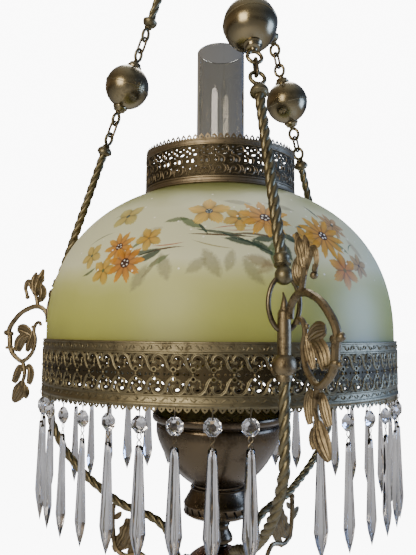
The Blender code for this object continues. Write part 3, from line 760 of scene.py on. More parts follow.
@dataclass(frozen=True)
class Cotton:
    """Woven cotton wick: matt and off-white."""

    name: str = "woven_cotton"
    thread_mm: float = 0.9

    def material(self) -> Material:
        """Build the material.

        Returns:
            The material.
        """
        material, tree, shader = new_material(self.name)
        node = partial(add_node, tree)
        at = node("TexCoord").outputs["Object"]
        weave = [node("TexWave", {"Vector": at, "Scale": 0.16 / (self.thread_mm * MM), "Distortion": 0.6},
            bands_direction=way) for way in ("X", "Z")]
        threads = node("Math", {0: weave[0].outputs["Fac"], 1: weave[1].outputs["Fac"]}, operation="MAXIMUM")
        colour = node("ValToRGB", {"Fac": threads.outputs[0]}, stops=[(0.2, "#8D8266"), (0.8, "#D9CFB2")])
        bump = node("Bump", {"Height": threads.outputs[0], "Strength": 0.7, "Distance": 0.2 * MM})
        shader.inputs["Roughness"].default_value = 0.95
        feed(tree, shader, {"Base Color": colour})
        feed(tree, shader, {"Normal": bump})
        return material


# ---- the painting on the shade --------------------------------------------------------------------------
@dataclass(frozen=True)
class Bloom:
    """One painted flower: azimuth in degrees, height above the rim and size in mm."""

    azimuth: float
    height_mm: float
    radius_mm: float
    petals: float
    inner: str
    outer: str
    heart: str = "#3C2319"
    heart_share: float = 0.24
    turn: float = 0.0
    enamel: float = 1.0  # white enamel dots in the heart


@dataclass(frozen=True)
class Stroke:
    """One brush stroke: a leaf, a stem or a shadow leaf, pointed at both ends."""

    azimuth: float
    height_mm: float
    length_mm: float
    width_mm: float
    lean: float  # degrees up from the horizontal, to the right
    colour: str
    bend: float = 0.0  # bow of the stroke, as a share of its length
    strength: float = 0.9
    softness: float = 0.25


@dataclass(frozen=True)
class DomeForm:
    """Outer form of the shade: a straight foot, then a squared-off quarter ellipse."""

    radius: float = 0.1811
    foot: float = 0.0052
    rise: float = 0.16
    power: float = 2.25
    mouth_r: float = 0.07
    wall: float = 0.003

    def height(self, radius: float) -> float:
        """Height of the outer face at a radius."""
        share = min(radius / self.radius, 1.0)
        return self.foot + self.rise * (1 - share**self.power) ** (1 / self.power)

    def radius_at(self, height: float) -> float:
        """Radius of the outer face at a height."""
        share = min(max((height - self.foot) / self.rise, 0.0), 1.0)
        return self.radius * (1 - share**self.power) ** (1 / self.power)

    def spot(self, azimuth: float, height: float) -> tuple[Vector, Vector, Vector]:
        """A point of the outer face with the two directions of the surface there.

        Args:
            azimuth: angle round the lamp in degrees.
            height: height above the rim.

        Returns:
            The point, the way round to the right, and the way up the dome.
        """
        a = math.radians(azimuth)
        out = Vector((math.cos(a), math.sin(a), 0))
        low, high = self.radius_at(height - MM), self.radius_at(height + MM)
        up = (out * (high - low) + Vector((0, 0, 2 * MM))).normalized()
        point = out * self.radius_at(height) + Vector((0, 0, RIM_Z + height))
        return point, Vector((-math.sin(a), math.cos(a), 0)), up


def group_tree(name: str, sockets: Sequence[tuple[str, str]]) -> tuple[Tree, dict]:
    """A node group that takes what is painted so far and gives it back with one motif more.

    Args:
        name: the group's name.
        sockets: name and type of each input.

    Returns:
        The tree and its input sockets by name.
    """
    tree = bpy.data.node_groups.new(name, "ShaderNodeTree")
    for socket, kind in sockets:
        tree.interface.new_socket(socket, in_out="INPUT", socket_type=kind)
    tree.interface.new_socket("Painted", in_out="OUTPUT", socket_type="NodeSocketColor")
    return tree, add_node(tree, "NodeGroupInput").outputs


COMMON_INPUTS = (("Ground", "NodeSocketColor"), ("At", "NodeSocketVector"), ("Centre", "NodeSocketVector"),
    ("Along", "NodeSocketVector"), ("Across", "NodeSocketVector"))


class Painter:
    """Builds the brush groups and lays each motif over what is painted already."""

    def __init__(self, form: DomeForm) -> None:
        """Make the brushes.

        Args:
            form: the dome that is painted.
        """
        self.form = form
        self.bloom_group = self.bloom_brush()
        self.stroke_group = self.stroke_brush()

    @staticmethod
    def chart(tree: Tree, given: dict) -> tuple:
        """Local coordinates on the glass about a motif's centre.

        Args:
            tree: the group's tree.
            given: the group's inputs.

        Returns:
            Sockets for the place along, the place across and the distance.
        """
        node = partial(add_node, tree)
        offset = node("VectorMath", {0: given["At"], 1: given["Centre"]}, operation="SUBTRACT")
        along = node("VectorMath", {0: offset, 1: given["Along"]}, operation="DOT_PRODUCT").outputs["Value"]
        across = node("VectorMath", {0: offset, 1: given["Across"]}, operation="DOT_PRODUCT").outputs["Value"]
        away = node("VectorMath", {0: offset}, operation="LENGTH")
        return along, across, away.outputs["Value"]

    def bloom_brush(self) -> Tree:
        """The group that paints a flower.

        Returns:
            The node group.
        """
        floats = ("Radius", "Petals", "Turn", "Heart Share", "Enamel")
        colours = ("Inner", "Outer", "Heart")
        tree, given = group_tree("painted_bloom", [*COMMON_INPUTS, *[(n, "NodeSocketFloat") for n in floats]]
            + [(n, "NodeSocketColor") for n in colours])
        node = partial(add_node, tree)
        along, across, away = self.chart(tree, given)
        angle = node("Math", [node("Math", [across, along], operation="ARCTAN2"), given["Turn"]], operation="ADD")
        share = node("Math", [away, given["Radius"]], operation="DIVIDE")
        spokes = node("CombineXYZ", {0: node("Math", [angle, 9.0], operation="MULTIPLY"), 1: share})
        streaks = node("TexNoise", {"Vector": spokes, "Scale": 1.6, "Detail": 2.0})
        half = node("Math", [node("Math", [angle, given["Petals"]], operation="MULTIPLY"), 0.5],
            operation="MULTIPLY")
        wave = node("Math", [node("Math", [half], operation="COSINE")], operation="ABSOLUTE")
        cusp = node("Math", [1.0, node("Math", [node("Math", [half], operation="SINE")], operation="ABSOLUTE")],
            operation="SUBTRACT")
        tip = node("Math", [cusp, 0.42], operation="POWER")
        reach = node("Math", [tip, 0.56, node("Math", [streaks, 0.42, 0.4], operation="MULTIPLY_ADD")],
            operation="MULTIPLY_ADD")
        petals = node("MapRange", {"Value": node("Math", [reach, share], operation="SUBTRACT"), "From Min": 0.0,
            "From Max": 0.07})
        crease = node("Math", [wave, 0.35], operation="POWER")
        tone = node("Math", [node("Math", [streaks, 0.9, 0.55], operation="MULTIPLY_ADD"), crease],
            operation="MULTIPLY")
        petal_colour = node("Mix", {"Factor": share, 6: given["Inner"], 7: given["Outer"]}, data_type="RGBA")
        petal_shade = node("VectorMath", {0: petal_colour, "Scale": tone}, operation="SCALE")
        painted = node("Mix", {"Factor": node("Math", [petals, 0.92], operation="MULTIPLY"), 6: given["Ground"],
            7: petal_shade}, data_type="RGBA")
        rough_edge = node("Math", [streaks, 0.12, -0.06], operation="MULTIPLY_ADD")
        heart = node("MapRange", {"Value": node("Math", [node("Math", [given["Heart Share"], rough_edge],
            operation="ADD"), share], operation="SUBTRACT"), "From Min": 0.0, "From Max": 0.04})
        painted = node("Mix", {"Factor": heart, 6: painted, 7: given["Heart"]}, data_type="RGBA")
        fifth = math.tau / 5
        folded = node("Math", [angle, fifth / 2, -fifth / 2], operation="WRAP")
        dot_x = node("Math", [node("Math", [share, node("Math", [folded], operation="COSINE")],
            operation="MULTIPLY"), node("Math", [given["Heart Share"], 0.55], operation="MULTIPLY")],
            operation="SUBTRACT")
        dot_y = node("Math", [share, node("Math", [folded], operation="SINE")], operation="MULTIPLY")
        spread = node("Math", [node("Math", [node("Math", [dot_x, dot_x], operation="MULTIPLY"),
            node("Math", [dot_y, dot_y], operation="MULTIPLY")], operation="ADD")], operation="SQRT")
        dots = node("MapRange", {"Value": spread, "From Min": 0.035, "From Max": 0.055, "To Min": 1.0,
            "To Max": 0.0})
        painted = node("Mix", {"Factor": node("Math", [dots, given["Enamel"]], operation="MULTIPLY"), 6: painted,
            7: linear("#F4F2E6")}, data_type="RGBA")
        node("NodeGroupOutput", {"Painted": painted})
        return tree

    def stroke_brush(self) -> Tree:
        """The group that paints a leaf or a stem.

        Returns:
            The node group.
        """
        floats = ("Length", "Width", "Bend", "Strength", "Softness")
        tree, given = group_tree("painted_stroke", [*COMMON_INPUTS, *[(n, "NodeSocketFloat") for n in floats]]
            + [("Colour", "NodeSocketColor")])
        node = partial(add_node, tree)
        along, across, away = self.chart(tree, given)
        run = node("Math", [along, given["Length"]], operation="DIVIDE")
        bow = node("Math", [node("Math", [run, run], operation="MULTIPLY"),
            node("Math", [given["Bend"], given["Length"]], operation="MULTIPLY")], operation="MULTIPLY")
        bristles = node("TexNoise", {"Vector": given["At"], "Scale": 1 / (2.6 * MM), "Detail": 3.0,
            "Roughness": 0.7})
        side = node("Math", [node("Math", [node("Math", [across, bow], operation="SUBTRACT")],
            operation="ABSOLUTE"), given["Width"]], operation="DIVIDE")
        outside = node("Math", [side, node("Math", [run, run], operation="MULTIPLY")], operation="ADD")
        outside = node("Math", [outside, node("Math", [bristles, 0.7, -0.35], operation="MULTIPLY_ADD")],
            operation="ADD")
        mask = node("MapRange", {"Value": outside, "From Min": node("Math", [1.0, given["Softness"]],
            operation="SUBTRACT"), "From Max": 1.0, "To Min": 1.0, "To Max": 0.0})
        near = node("Math", [away, node("Math", [given["Length"], 1.4], operation="MULTIPLY")],
            operation="LESS_THAN")
        mask = node("Math", [node("Math", [mask, near], operation="MULTIPLY"), given["Strength"]],
            operation="MULTIPLY")
        shade = node("VectorMath", {0: given["Colour"], "Scale": node("Math", [bristles, 1.2, 0.4],
            operation="MULTIPLY_ADD")}, operation="SCALE")
        painted = node("Mix", {"Factor": mask, 6: given["Ground"], 7: shade}, data_type="RGBA")
        node("NodeGroupOutput", {"Painted": painted})
        return tree

    def lay(self, tree: Tree, ground: Socket, at: Socket, motif: Bloom | Stroke) -> Socket:
        """Paint one motif.

        Args:
            tree: the material's tree.
            ground: what is painted so far.
            at: the place on the glass.
            motif: the flower or stroke.

        Returns:
            The colour with the motif on it.
        """
        centre, right, up = self.form.spot(motif.azimuth, motif.height_mm * MM)
        lean = math.radians(motif.lean if isinstance(motif, Stroke) else 0.0)
        along = right * math.cos(lean) + up * math.sin(lean)
        across = up * math.cos(lean) - right * math.sin(lean)
        inputs: dict[str | int, object] = {"Ground": ground, "At": at, "Centre": centre, "Along": along,
            "Across": across}
        if isinstance(motif, Bloom):
            inputs |= {"Radius": motif.radius_mm * MM, "Petals": motif.petals, "Turn": motif.turn,
                "Heart Share": motif.heart_share, "Enamel": motif.enamel, "Inner": linear(motif.inner),
                "Outer": linear(motif.outer), "Heart": linear(motif.heart)}
        else:
            inputs |= {"Length": motif.length_mm * MM, "Width": motif.width_mm * MM, "Bend": motif.bend,
                "Strength": motif.strength, "Softness": motif.softness, "Colour": linear(motif.colour)}
        group = self.bloom_group if isinstance(motif, Bloom) else self.stroke_group
        return add_node(tree, "Group", inputs, node_tree=group)


ORANGE, GOLD, PALE = "#B8691A", "#C4911F", "#BCA043"
LEAF_GREEN, DEEP_GREEN, SHADOW, TWIG = "#4A5F33", "#243C2C", "#7E7A56", "#54402A"
RUST = "#A8543A"

# one garland, between azimuths -160 and -40 degrees; the shade carries it three times
GARLAND: tuple[Bloom | Stroke, ...] = (
    # shadow leaves, thin and grey
    Stroke(-126.0, 52.0, 15.0, 7.0, 62, SHADOW, 0.0, 0.62, 0.5), Stroke(-119.0, 61.0, 15.0, 7.5, -70, SHADOW, 0.0,
    0.6, 0.5), Stroke(-106.0, 64.0, 17.0, 8.0, -60, SHADOW, 0.0, 0.6, 0.5),
    Stroke(-101.0, 66.0, 12.0, 6.0, 75, SHADOW, 0.0, 0.55, 0.5), Stroke(-95.0, 57.0, 17.0, 7.0, -55, SHADOW, 0.1,
    0.6, 0.5), Stroke(-90.5, 62.0, 13.0, 6.5, 35, "#8E7C58", 0.0, 0.55, 0.5),
    Stroke(-97.0, 122.0, 15.0, 4.5, -12, SHADOW, 0.0, 0.55, 0.5), Stroke(-81.0, 120.0, 16.0, 5.0, -18, SHADOW, 0.0,
    0.55, 0.5), Stroke(-82.0, 66.0, 13.0, 6.0, 20, SHADOW, 0.0, 0.5, 0.5),
    Stroke(-125.5, 93.0, 13.0, 5.0, 25, "#A29B77", 0.0, 0.5, 0.5), Stroke(-55.0, 84.0, 14.0, 5.0, -60, "#A0875F",
    0.0, 0.5, 0.5),
    # twigs and stems
    Stroke(-121.5, 76.0, 24.0, 1.1, 12, TWIG, -0.08, 0.95, 0.3), Stroke(-119.0, 80.0, 16.0, 0.8, 6, RUST, 0.1, 0.75,
    0.4), Stroke(-103.0, 88.5, 32.0, 1.2, -3, TWIG, 0.05, 0.95, 0.3), Stroke(-93.0, 79.0, 26.0, 1.0, -28, TWIG,
    0.08, 0.9, 0.3), Stroke(-100.0, 97.0, 20.0, 0.8, 5, RUST, -0.1, 0.8, 0.4),
    Stroke(-97.5, 93.0, 16.0, 0.7, 2, RUST, 0.08, 0.75, 0.4), Stroke(-106.0, 79.0, 20.0, 0.8, -14, "#8B8247", 0.12,
    0.7, 0.4), Stroke(-146.0, 92.0, 17.0, 0.9, 24, "#6C7548", -0.12, 0.75, 0.4),
    Stroke(-142.5, 116.0, 14.0, 0.8, 28, "#5F6B4A", -0.15, 0.75, 0.4), Stroke(-92.5, 104.0, 19.0, 0.9, -40, TWIG,
    0.28, 0.85, 0.3), Stroke(-62.0, 92.0, 12.0, 0.9, 60, "#54684A", 0.25, 0.8, 0.4),
    Stroke(-58.0, 86.0, 9.0, 0.8, 35, "#54684A", -0.3, 0.8, 0.4), Stroke(-66.5, 118.0, 11.0, 1.6, 108, DEEP_GREEN,
    0.05, 0.85, 0.4), Stroke(-145.0, 59.0, 10.0, 1.8, 25, DEEP_GREEN, 0.15, 0.8, 0.5),
    # leaves
    Stroke(-124.5, 70.0, 15.0, 3.6, 26, DEEP_GREEN, 0.06, 0.9, 0.3), Stroke(-121.0, 66.0, 12.0, 3.0, 34, LEAF_GREEN,
    0.0, 0.75, 0.4), Stroke(-113.0, 100.0, 14.0, 4.6, -32, LEAF_GREEN, 0.1, 0.85, 0.35),
    Stroke(-109.0, 95.0, 9.0, 1.6, -55, DEEP_GREEN, 0.0, 0.9, 0.3), Stroke(-97.0, 82.5, 19.0, 3.6, -14, DEEP_GREEN,
    0.0, 0.9, 0.35), Stroke(-90.0, 86.0, 13.0, 4.4, 8, DEEP_GREEN, 0.06, 0.9, 0.35),
    Stroke(-86.0, 92.0, 12.0, 4.6, 55, DEEP_GREEN, 0.0, 0.9, 0.35), Stroke(-84.5, 76.0, 11.0, 4.4, -70, DEEP_GREEN,
    0.0, 0.88, 0.35), Stroke(-88.5, 71.0, 9.0, 4.0, 80, LEAF_GREEN, 0.0, 0.85, 0.35),
    Stroke(-79.5, 83.0, 13.0, 2.6, -25, "#71804F", 0.0, 0.8, 0.35), Stroke(-76.0, 100.0, 9.0, 2.4, 15, DEEP_GREEN,
    0.1, 0.85, 0.35), Stroke(-67.0, 73.0, 14.0, 2.2, -58, DEEP_GREEN, 0.0, 0.85, 0.35),
    Stroke(-63.0, 84.0, 12.0, 2.4, -40, "#6B7A4C", 0.05, 0.8, 0.35), Stroke(-118.0, 104.0, 12.0, 3.2, 8, LEAF_GREEN,
    -0.1, 0.8, 0.35), Stroke(-104.0, 91.0, 24.0, 1.8, -10, DEEP_GREEN, 0.06, 0.85, 0.3),
    Stroke(-99.0, 86.0, 16.0, 1.6, -22, DEEP_GREEN, 0.08, 0.85, 0.3), Stroke(-94.0, 90.0, 20.0, 1.4, -4, TWIG, -0.1,
    0.85, 0.3), Stroke(-91.5, 78.0, 13.0, 4.6, -40, DEEP_GREEN, 0.0, 0.9, 0.35),
    Stroke(-87.0, 81.0, 12.0, 4.8, 30, LEAF_GREEN, 0.0, 0.85, 0.35), Stroke(-82.5, 88.0, 11.0, 4.0, -35, DEEP_GREEN,
    0.0, 0.88, 0.35), Stroke(-127.0, 74.0, 17.0, 2.6, 8, DEEP_GREEN, 0.1, 0.85, 0.3),
    Stroke(-128.0, 84.0, 13.0, 2.2, 40, LEAF_GREEN, 0.0, 0.8, 0.35), Stroke(-123.0, 60.0, 13.0, 2.0, 55, SHADOW,
    0.1, 0.7, 0.4), Stroke(-110.0, 62.0, 13.0, 6.5, 40, SHADOW, 0.0, 0.55, 0.5),
    Stroke(-93.0, 66.0, 14.0, 6.5, -20, "#7C6846", 0.0, 0.6, 0.5),
    # flowers, the pale ones under the bright ones
    Bloom(-139.0, 112.0, 15.0, 4, PALE, "#B9B062", "#42564C", 0.17, 0.7, 0.0),
    Bloom(-146.5, 75.0, 12.0, 5, PALE, "#BFA754", "#4B5F4E", 0.15, 0.2, 0.0),
    Bloom(-139.0, 60.0, 12.5, 5, GOLD, PALE, "#5E6A40", 0.16, 1.2, 0.0),
    Bloom(-125.5, 87.0, 11.5, 5, GOLD, PALE, "#7A6A3B", 0.14, 0.4, 0.0),
    Bloom(-97.5, 104.5, 13.5, 5, GOLD, PALE, "#5E6B45", 0.16, 0.3, 0.0),
    Bloom(-107.5, 112.0, 17.0, 5, GOLD, "#D9B64C", "#2F4444", 0.22, 0.9, 0.35),
    Bloom(-60.5, 106.0, 15.0, 8, "#A97A45", "#B79463", "#4C5746", 0.15, 0.1, 0.0),
    Bloom(-57.0, 68.0, 12.0, 6, "#A98554", "#B49A6A", "#5B4A34", 0.14, 0.8, 0.0),
    Bloom(-65.0, 62.0, 16.0, 6, ORANGE, GOLD, "#7A6A34", 0.15, 0.5, 0.0),
    Bloom(-76.5, 88.0, 12.5, 6, GOLD, GOLD, "#6A5A30", 0.14, 0.2, 0.0), Bloom(-135.5, 81.0, 14.5, 9, ORANGE, GOLD,
    "#3C2319", 0.27, 0.15, 1.0), Bloom(-131.5, 65.5, 16.5, 9, "#A85A12", "#C4881F", "#3C2319", 0.3, 0.55, 1.0),
    Bloom(-88.7, 106.5, 21.0, 10, "#BC7818", "#CB9A26", "#35221B", 0.25, 0.3, 1.0),
    Bloom(-69.0, 93.0, 22.0, 11, "#BC7818", "#CB9A26", "#35221B", 0.24, 0.75, 1.0))


TRACE = (1e-7, 1e-7, 1e-7)  # too little to see


@dataclass(frozen=True)
class PaintedShade:
    """Opal glass, acid-etched to a satin, shaded in olive and cream and painted with flowers by hand."""

    form: DomeForm = field(default_factory=DomeForm)
    name: str = "satin_opal_glass_hand_painted"
    enamel_spacing_mm: float = 11.0
    enamel_dot_mm: float = 1.05

    def material(self) -> Material:
        """Build the material.

        Returns:
            The material.
        """
        material, tree, shader = new_material(self.name)
        node = partial(add_node, tree)
        painter = Painter(self.form)
        at = node("TexCoord").outputs["Object"]
        parts = node("SeparateXYZ", {0: at}).outputs
        clouds = node("TexNoise", {"Vector": at, "Scale": 1 / (70 * MM), "Detail": 3.0})
        drift = node("Math", [clouds, 0.024, -RIM_Z - 0.012], operation="MULTIPLY_ADD")
        height = node("MapRange", {"Value": node("Math", [parts[2], drift], operation="ADD"), "From Min": 0.0,
            "From Max": 0.15})
        colour = node("ValToRGB", {"Fac": height}, stops=[(0.0, "#8E9048"), (0.12, "#A6AA56"), (0.26, "#B0B464"),
            (0.33, "#BABD76"), (0.39, "#C9CC92"), (0.46, "#D8DBB4"), (0.8, "#D2D5AC"), (0.9, "#A9AE72"),
            (1.0, "#787D44")])
        # the garland is folded into one third of the way round
        angle = node("Math", [parts[1], parts[0]], operation="ARCTAN2")
        third = math.radians(120)
        start = math.radians(-160)
        folded = node("Math", [angle, start + third, start], operation="WRAP")
        flat = node("Math", [node("Math", [node("Math", [parts[0], parts[0]], operation="MULTIPLY"),
            node("Math", [parts[1], parts[1]], operation="MULTIPLY")], operation="ADD")], operation="SQRT")
        place = node("CombineXYZ", {0: node("Math", [flat, node("Math", [folded], operation="COSINE")],
            operation="MULTIPLY"), 1: node("Math", [flat, node("Math", [folded], operation="SINE")],
            operation="MULTIPLY"), 2: parts[2]})
        for motif in GARLAND:
            # a trace of the paint below in the place: layers are then worked out one after another
            here = node("VectorMath", [colour, TRACE, place], operation="MULTIPLY_ADD")
            colour = painter.lay(tree, colour, here, motif)
        enamel = self.enamel_dots(tree, painter, at, height)
        colour = node("Mix", {"Factor": enamel, 6: colour, 7: linear("#F1F0DC")}, data_type="RGBA")
        tooth = node("TexNoise", {"Vector": at, "Scale": 1 / (0.7 * MM), "Detail": 2.0})
        relief = node("Math", [enamel, 6.0, tooth], operation="MULTIPLY_ADD")
        bump = node("Bump", {"Height": relief, "Strength": 0.35, "Distance": 0.03 * MM})
        shader.inputs["Roughness"].default_value = 0.42
        shader.inputs["IOR"].default_value = 1.5
        shader.inputs["Subsurface Weight"].default_value = 0.12
        shader.inputs["Subsurface Radius"].default_value = (0.004, 0.004, 0.003)
        shader.inputs["Subsurface Scale"].default_value = 1.0
        feed(tree, shader, {"Base Color": colour})
        feed(tree, shader, {"Normal": bump})
        return material

    def enamel_dots(self, tree: Tree, painter: Painter, at: Socket, height: Socket) -> Socket:
        """Raised white dots scattered through the garland's band.

        Args:
            tree: the material's tree.
            painter: its arithmetic.
            at: the place on the glass.
            height: share of the dome's height.

        Returns:
            How much of a dot is at each place.
        """
        node = partial(add_node, tree)
        cells = node("TexVoronoi", {"Vector": at, "Scale": 1 / (self.enamel_spacing_mm * MM), "Randomness": 0.85},
            feature="F1")
        edge = self.enamel_dot_mm / self.enamel_spacing_mm
        dot = node("MapRange", {"Value": cells, "From Min": edge * 0.8, "From Max": edge * 1.15, "To Min": 1.0,
            "To Max": 0.0})
        band = node("Math", [node("Math", [height, 0.34], operation="GREATER_THAN"),
            node("Math", [height, 0.88], operation="LESS_THAN")], operation="MULTIPLY")
        return node("Math", [dot, band], operation="MULTIPLY")


# ---- shared small parts -----------------------------------------------------------------------------------
def strand_section(radius: float, strands: int = 3, fullness: float = 0.62) -> list[tuple[float, float]]:
    """Outline across a rod twisted from round strands.

    Args:
        radius: radius over the strands.
        strands: how many.
        fullness: radius of one strand, as a share of the whole.

    Returns:
        The outline's points.
    """
    found, per = [], 7
    for k in range(strands * per):
        inside = math.tau / strands * ((k % per) / per - 0.5)
        turn = math.tau / strands * (k // per) + inside
        offset = 1 - fullness
        reach = offset * math.cos(inside) + math.sqrt(fullness**2 - (offset * math.sin(inside)) ** 2)
        found.append((radius * reach * math.cos(turn), radius * reach * math.sin(turn)))
    return found


def rope(name: str, points: Sequence[Point], radius: float, lead: float) -> Obj:
    """A twisted rod along points.

    Args:
        name: the object's name.
        points: its centre line.
        radius: radius over the strands.
        lead: length in which a strand goes round once.

    Returns:
        The rod.
    """
    return swept(name, points, strand_section(radius), lead=lead)


def eye_ring(name: str, at: float, radius: float, thick: float) -> Obj:
    """A round eye in the leg's YZ plane, centred at a distance along the leg."""
    run = ring_run(radius, 28, (0, 0, at), (0, 1, 0), (0, 0, 1))
    return wire(name, run, thick, closed=True, sides=10)


def casting(name: str, pieces: Sequence[Obj]) -> Obj:
    """Stand a casting up that was laid out flat, X out and Y up."""
    return moved(joined(name, pieces), spun(math.pi / 2, "X"))


LEAF_SECTION = ((-1.0, 0.0), (-0.86, 0.13), (-0.7, 0.18), (-0.54, 0.09), (-0.34, 0.24), (-0.14, 0.2), (0.0, 0.34),
    (0.14, 0.2), (0.34, 0.24), (0.54, 0.09), (0.7, 0.18), (0.86, 0.13), (1.0, 0.0), (0.86, -0.13), (0.7, -0.18),
    (0.54, -0.09), (0.34, -0.24), (0.14, -0.2), (0.0, -0.34), (-0.14, -0.2), (-0.34, -0.24), (-0.54, -0.09),
    (-0.7, -0.18), (-0.86, -0.13))
BAND_SECTION = ((-1, 0), (-0.82, 0.55), (-0.46, 0.68), (0, 0.34), (0.46, 0.68), (0.82, 0.55), (1, 0), (0.6, -0.35),
    (-0.6, -0.35))


@dataclass(frozen=True)
class Leaf:
    """A cast leaf lobe, ribbed on both faces, along a spine given in mm; widths are half widths."""

    spine: tuple[tuple[float, float], ...]
    half_width: float
    widest: float = 0.45
    tip: float = 0.1
    root: float = 0.35
    lobes: int = 0  # notches along its edges

    def build(self, name: str) -> Obj:
        """Sweep the lobe, flat in XY.

        Args:
            name: the object's name.

        Returns:
            The lobe.
        """
        run = smooth_run([(x * MM, y * MM, 0) for x, y in self.spine], 1.1 * MM)
        widths = []
        for k in range(len(run)):
            t = k / (len(run) - 1)
            if t < self.widest:
                share = self.root + (1 - self.root) * math.sin(math.pi / 2 * t / self.widest)
            else:
                fall = (t - self.widest) / (1 - self.widest)
                share = self.tip + (1 - self.tip) * math.cos(math.pi / 2 * fall) ** 0.8
            share *= 1 + (0.13 * math.cos(math.tau * self.lobes * t) if self.lobes else 0)
            widths.append(max(share, 0.05) * self.half_width * MM)
        return swept(name, run, LEAF_SECTION, widths)


@dataclass(frozen=True)
class Stem:
    """A cast round stem along a line given in mm."""

    line: tuple[tuple[float, float], ...]
    radius: float
    start: float = 1.0
    end: float = 1.0

    def build(self, name: str) -> Obj:
        """Sweep the stem, flat in XY.

        Args:
            name: the object's name.

        Returns:
            The stem.
        """
        run = smooth_run([(x * MM, y * MM, 0) for x, y in self.line], 1.4 * MM)
        last = len(run) - 1
        taper = [self.start + (self.end - self.start) * k / last for k in range(last + 1)]
        return wire(name, run, self.radius * MM, sides=8, taper=taper)


@dataclass(frozen=True)
class Boss:
    """A cast round knob; centre and half sizes in mm."""

    centre: tuple[float, float]
    size: tuple[float, float, float]
    turn: float = 0.0

    def build(self, name: str) -> Obj:
        """Model the knob, flat in XY.

        Args:
            name: the object's name.

        Returns:
            The knob.
        """
        knob = lump(name, (0, 0, 0), [s * MM for s in self.size])
        place = slid(self.centre[0] * MM, self.centre[1] * MM, 0)
        return moved(knob, place @ spun(math.radians(self.turn), "Z"))


def cast_from(name: str, design: Sequence[Leaf | Stem | Boss]) -> Obj:
    """Model every part of a casting and stand it up."""
    return casting(name, [part.build(f"{name}_{k}") for k, part in enumerate(design)])


# ---- ceiling fitting and chain crown ----------------------------------------------------------------------
@dataclass
class CeilingFitting:
    """Ceiling plate with its screws, the hook through it and the long hanger link."""

    plate_r: float = 0.045
    boss_low: float = -0.014
    skin: float = -0.002
    hook_wire: float = 0.003
    hook_r: float = 0.012
    hook_low: float = -0.045
    hanger_wire: float = 0.0025
    hanger_span: float = 0.024
    screw_circle: float = 0.034
    screw_r: float = 0.0042

    def build(self) -> None:
        """Build and mount the fitting."""
        self.plate()
        self.screws()
        self.hook()
        self.hanger()

    def plate(self) -> None:
        """Spun plate with two mouldings and a boss."""
        r, bore = self.plate_r, self.hook_wire + 0.0003
        outline = [(0, 0), *offset(r, 0, (-1, 0), (0, -0.8), (0, -1.6), (-1.2, -3), (-3.5, -4), (-5, -3.8),
            (-6.5, -4.6)), (0.023, -0.0054), (0.0205, -0.0052), (0.019, -0.0064), (0.016, -0.0072),
            (0.0135, -0.009), (0.0118, -0.0115), (0.011, -0.0132), (0.01, self.boss_low), (bore, self.boss_low),
            (bore, self.skin), (0, self.skin)]
        plate = turned("ceiling_plate_spun", outline, 72, Matrix())
        fitted(plate, Body.CEILING, PRESSED_BRASS.material(), Slot.ANTIQUE, "ceiling_plate")

    def screws(self) -> None:
        """Three slotted round-head screws."""
        s = self.screw_r
        head = turned("screw", [(0, -0.0075), (s * 0.5, -0.0072), (s * 0.85, -0.0062), (s, -0.0048),
            (0.0018, -0.0046), (0.0018, -0.0012), (0, -0.0012)], 20, Matrix())
        pick()
        bpy.ops.mesh.primitive_cube_add(size=1, location=(0, 0, -0.0076), scale=(0.012, 0.0011, 0.0022))
        slot = settled("slot")
        modified(head, "BOOLEAN", object=slot, operation="DIFFERENCE", solver="EXACT")
        bpy.data.objects.remove(slot, do_unlink=True)
        places = [spun(math.tau * (k + 0.5) / 3, "Z") @ slid(self.screw_circle, 0, 0) for k in range(3)]
        screws = repeated("plate_screws", head, places)
        fitted(screws, Body.CEILING, WIRE_BRASS.material(), Slot.DARK)

    def hook(self) -> None:
        """Open round hook with its hexagon nut."""
        centre = self.hook_low + self.hook_r
        points = [(0, 0, self.skin - 0.0003), (0, 0, self.boss_low), (0, 0, centre + self.hook_r + 0.001)]
        for k in range(10):
            a = math.radians(115 + 245 * k / 9)
            points.append((self.hook_r * math.cos(a), 0, centre + self.hook_r * math.sin(a)))
        run = smooth_run(points, 0.0016)
        last = len(run) - 1
        taper = [1.0 if k < last - 2 else (0.92, 0.75, 0.45)[k - last + 2] for k in range(last + 1)]
        bar = wire("hook_bar", run, self.hook_wire, sides=14, taper=taper)
        nut = rod("hook_nut", 0.007, self.boss_low - 0.0035, self.boss_low - 0.0003, 6)
        hook = joined("ceiling_hook_forged", [bar, nut])
        fitted(hook, Body.CEILING, WIRE_BRASS.material(), Slot.DARK, "ceiling_hook")

    def hanger(self) -> None:
        """Long link from the hook to the chain crown."""
        wrap = self.hook_wire + 0.0003 + self.hanger_wire
        middle = (0, 0, self.hook_low - self.hanger_span / 2)
        run = loop_outline(wrap, self.hanger_span, middle, (0, 1, 0), (0, 0, 1), 10)
        link = wire("hanger_link_bent", run, self.hanger_wire, closed=True, sides=12)
        fitted(link, Body.HANGER, WIRE_BRASS.material(), Slot.DARK, "hanger_link")


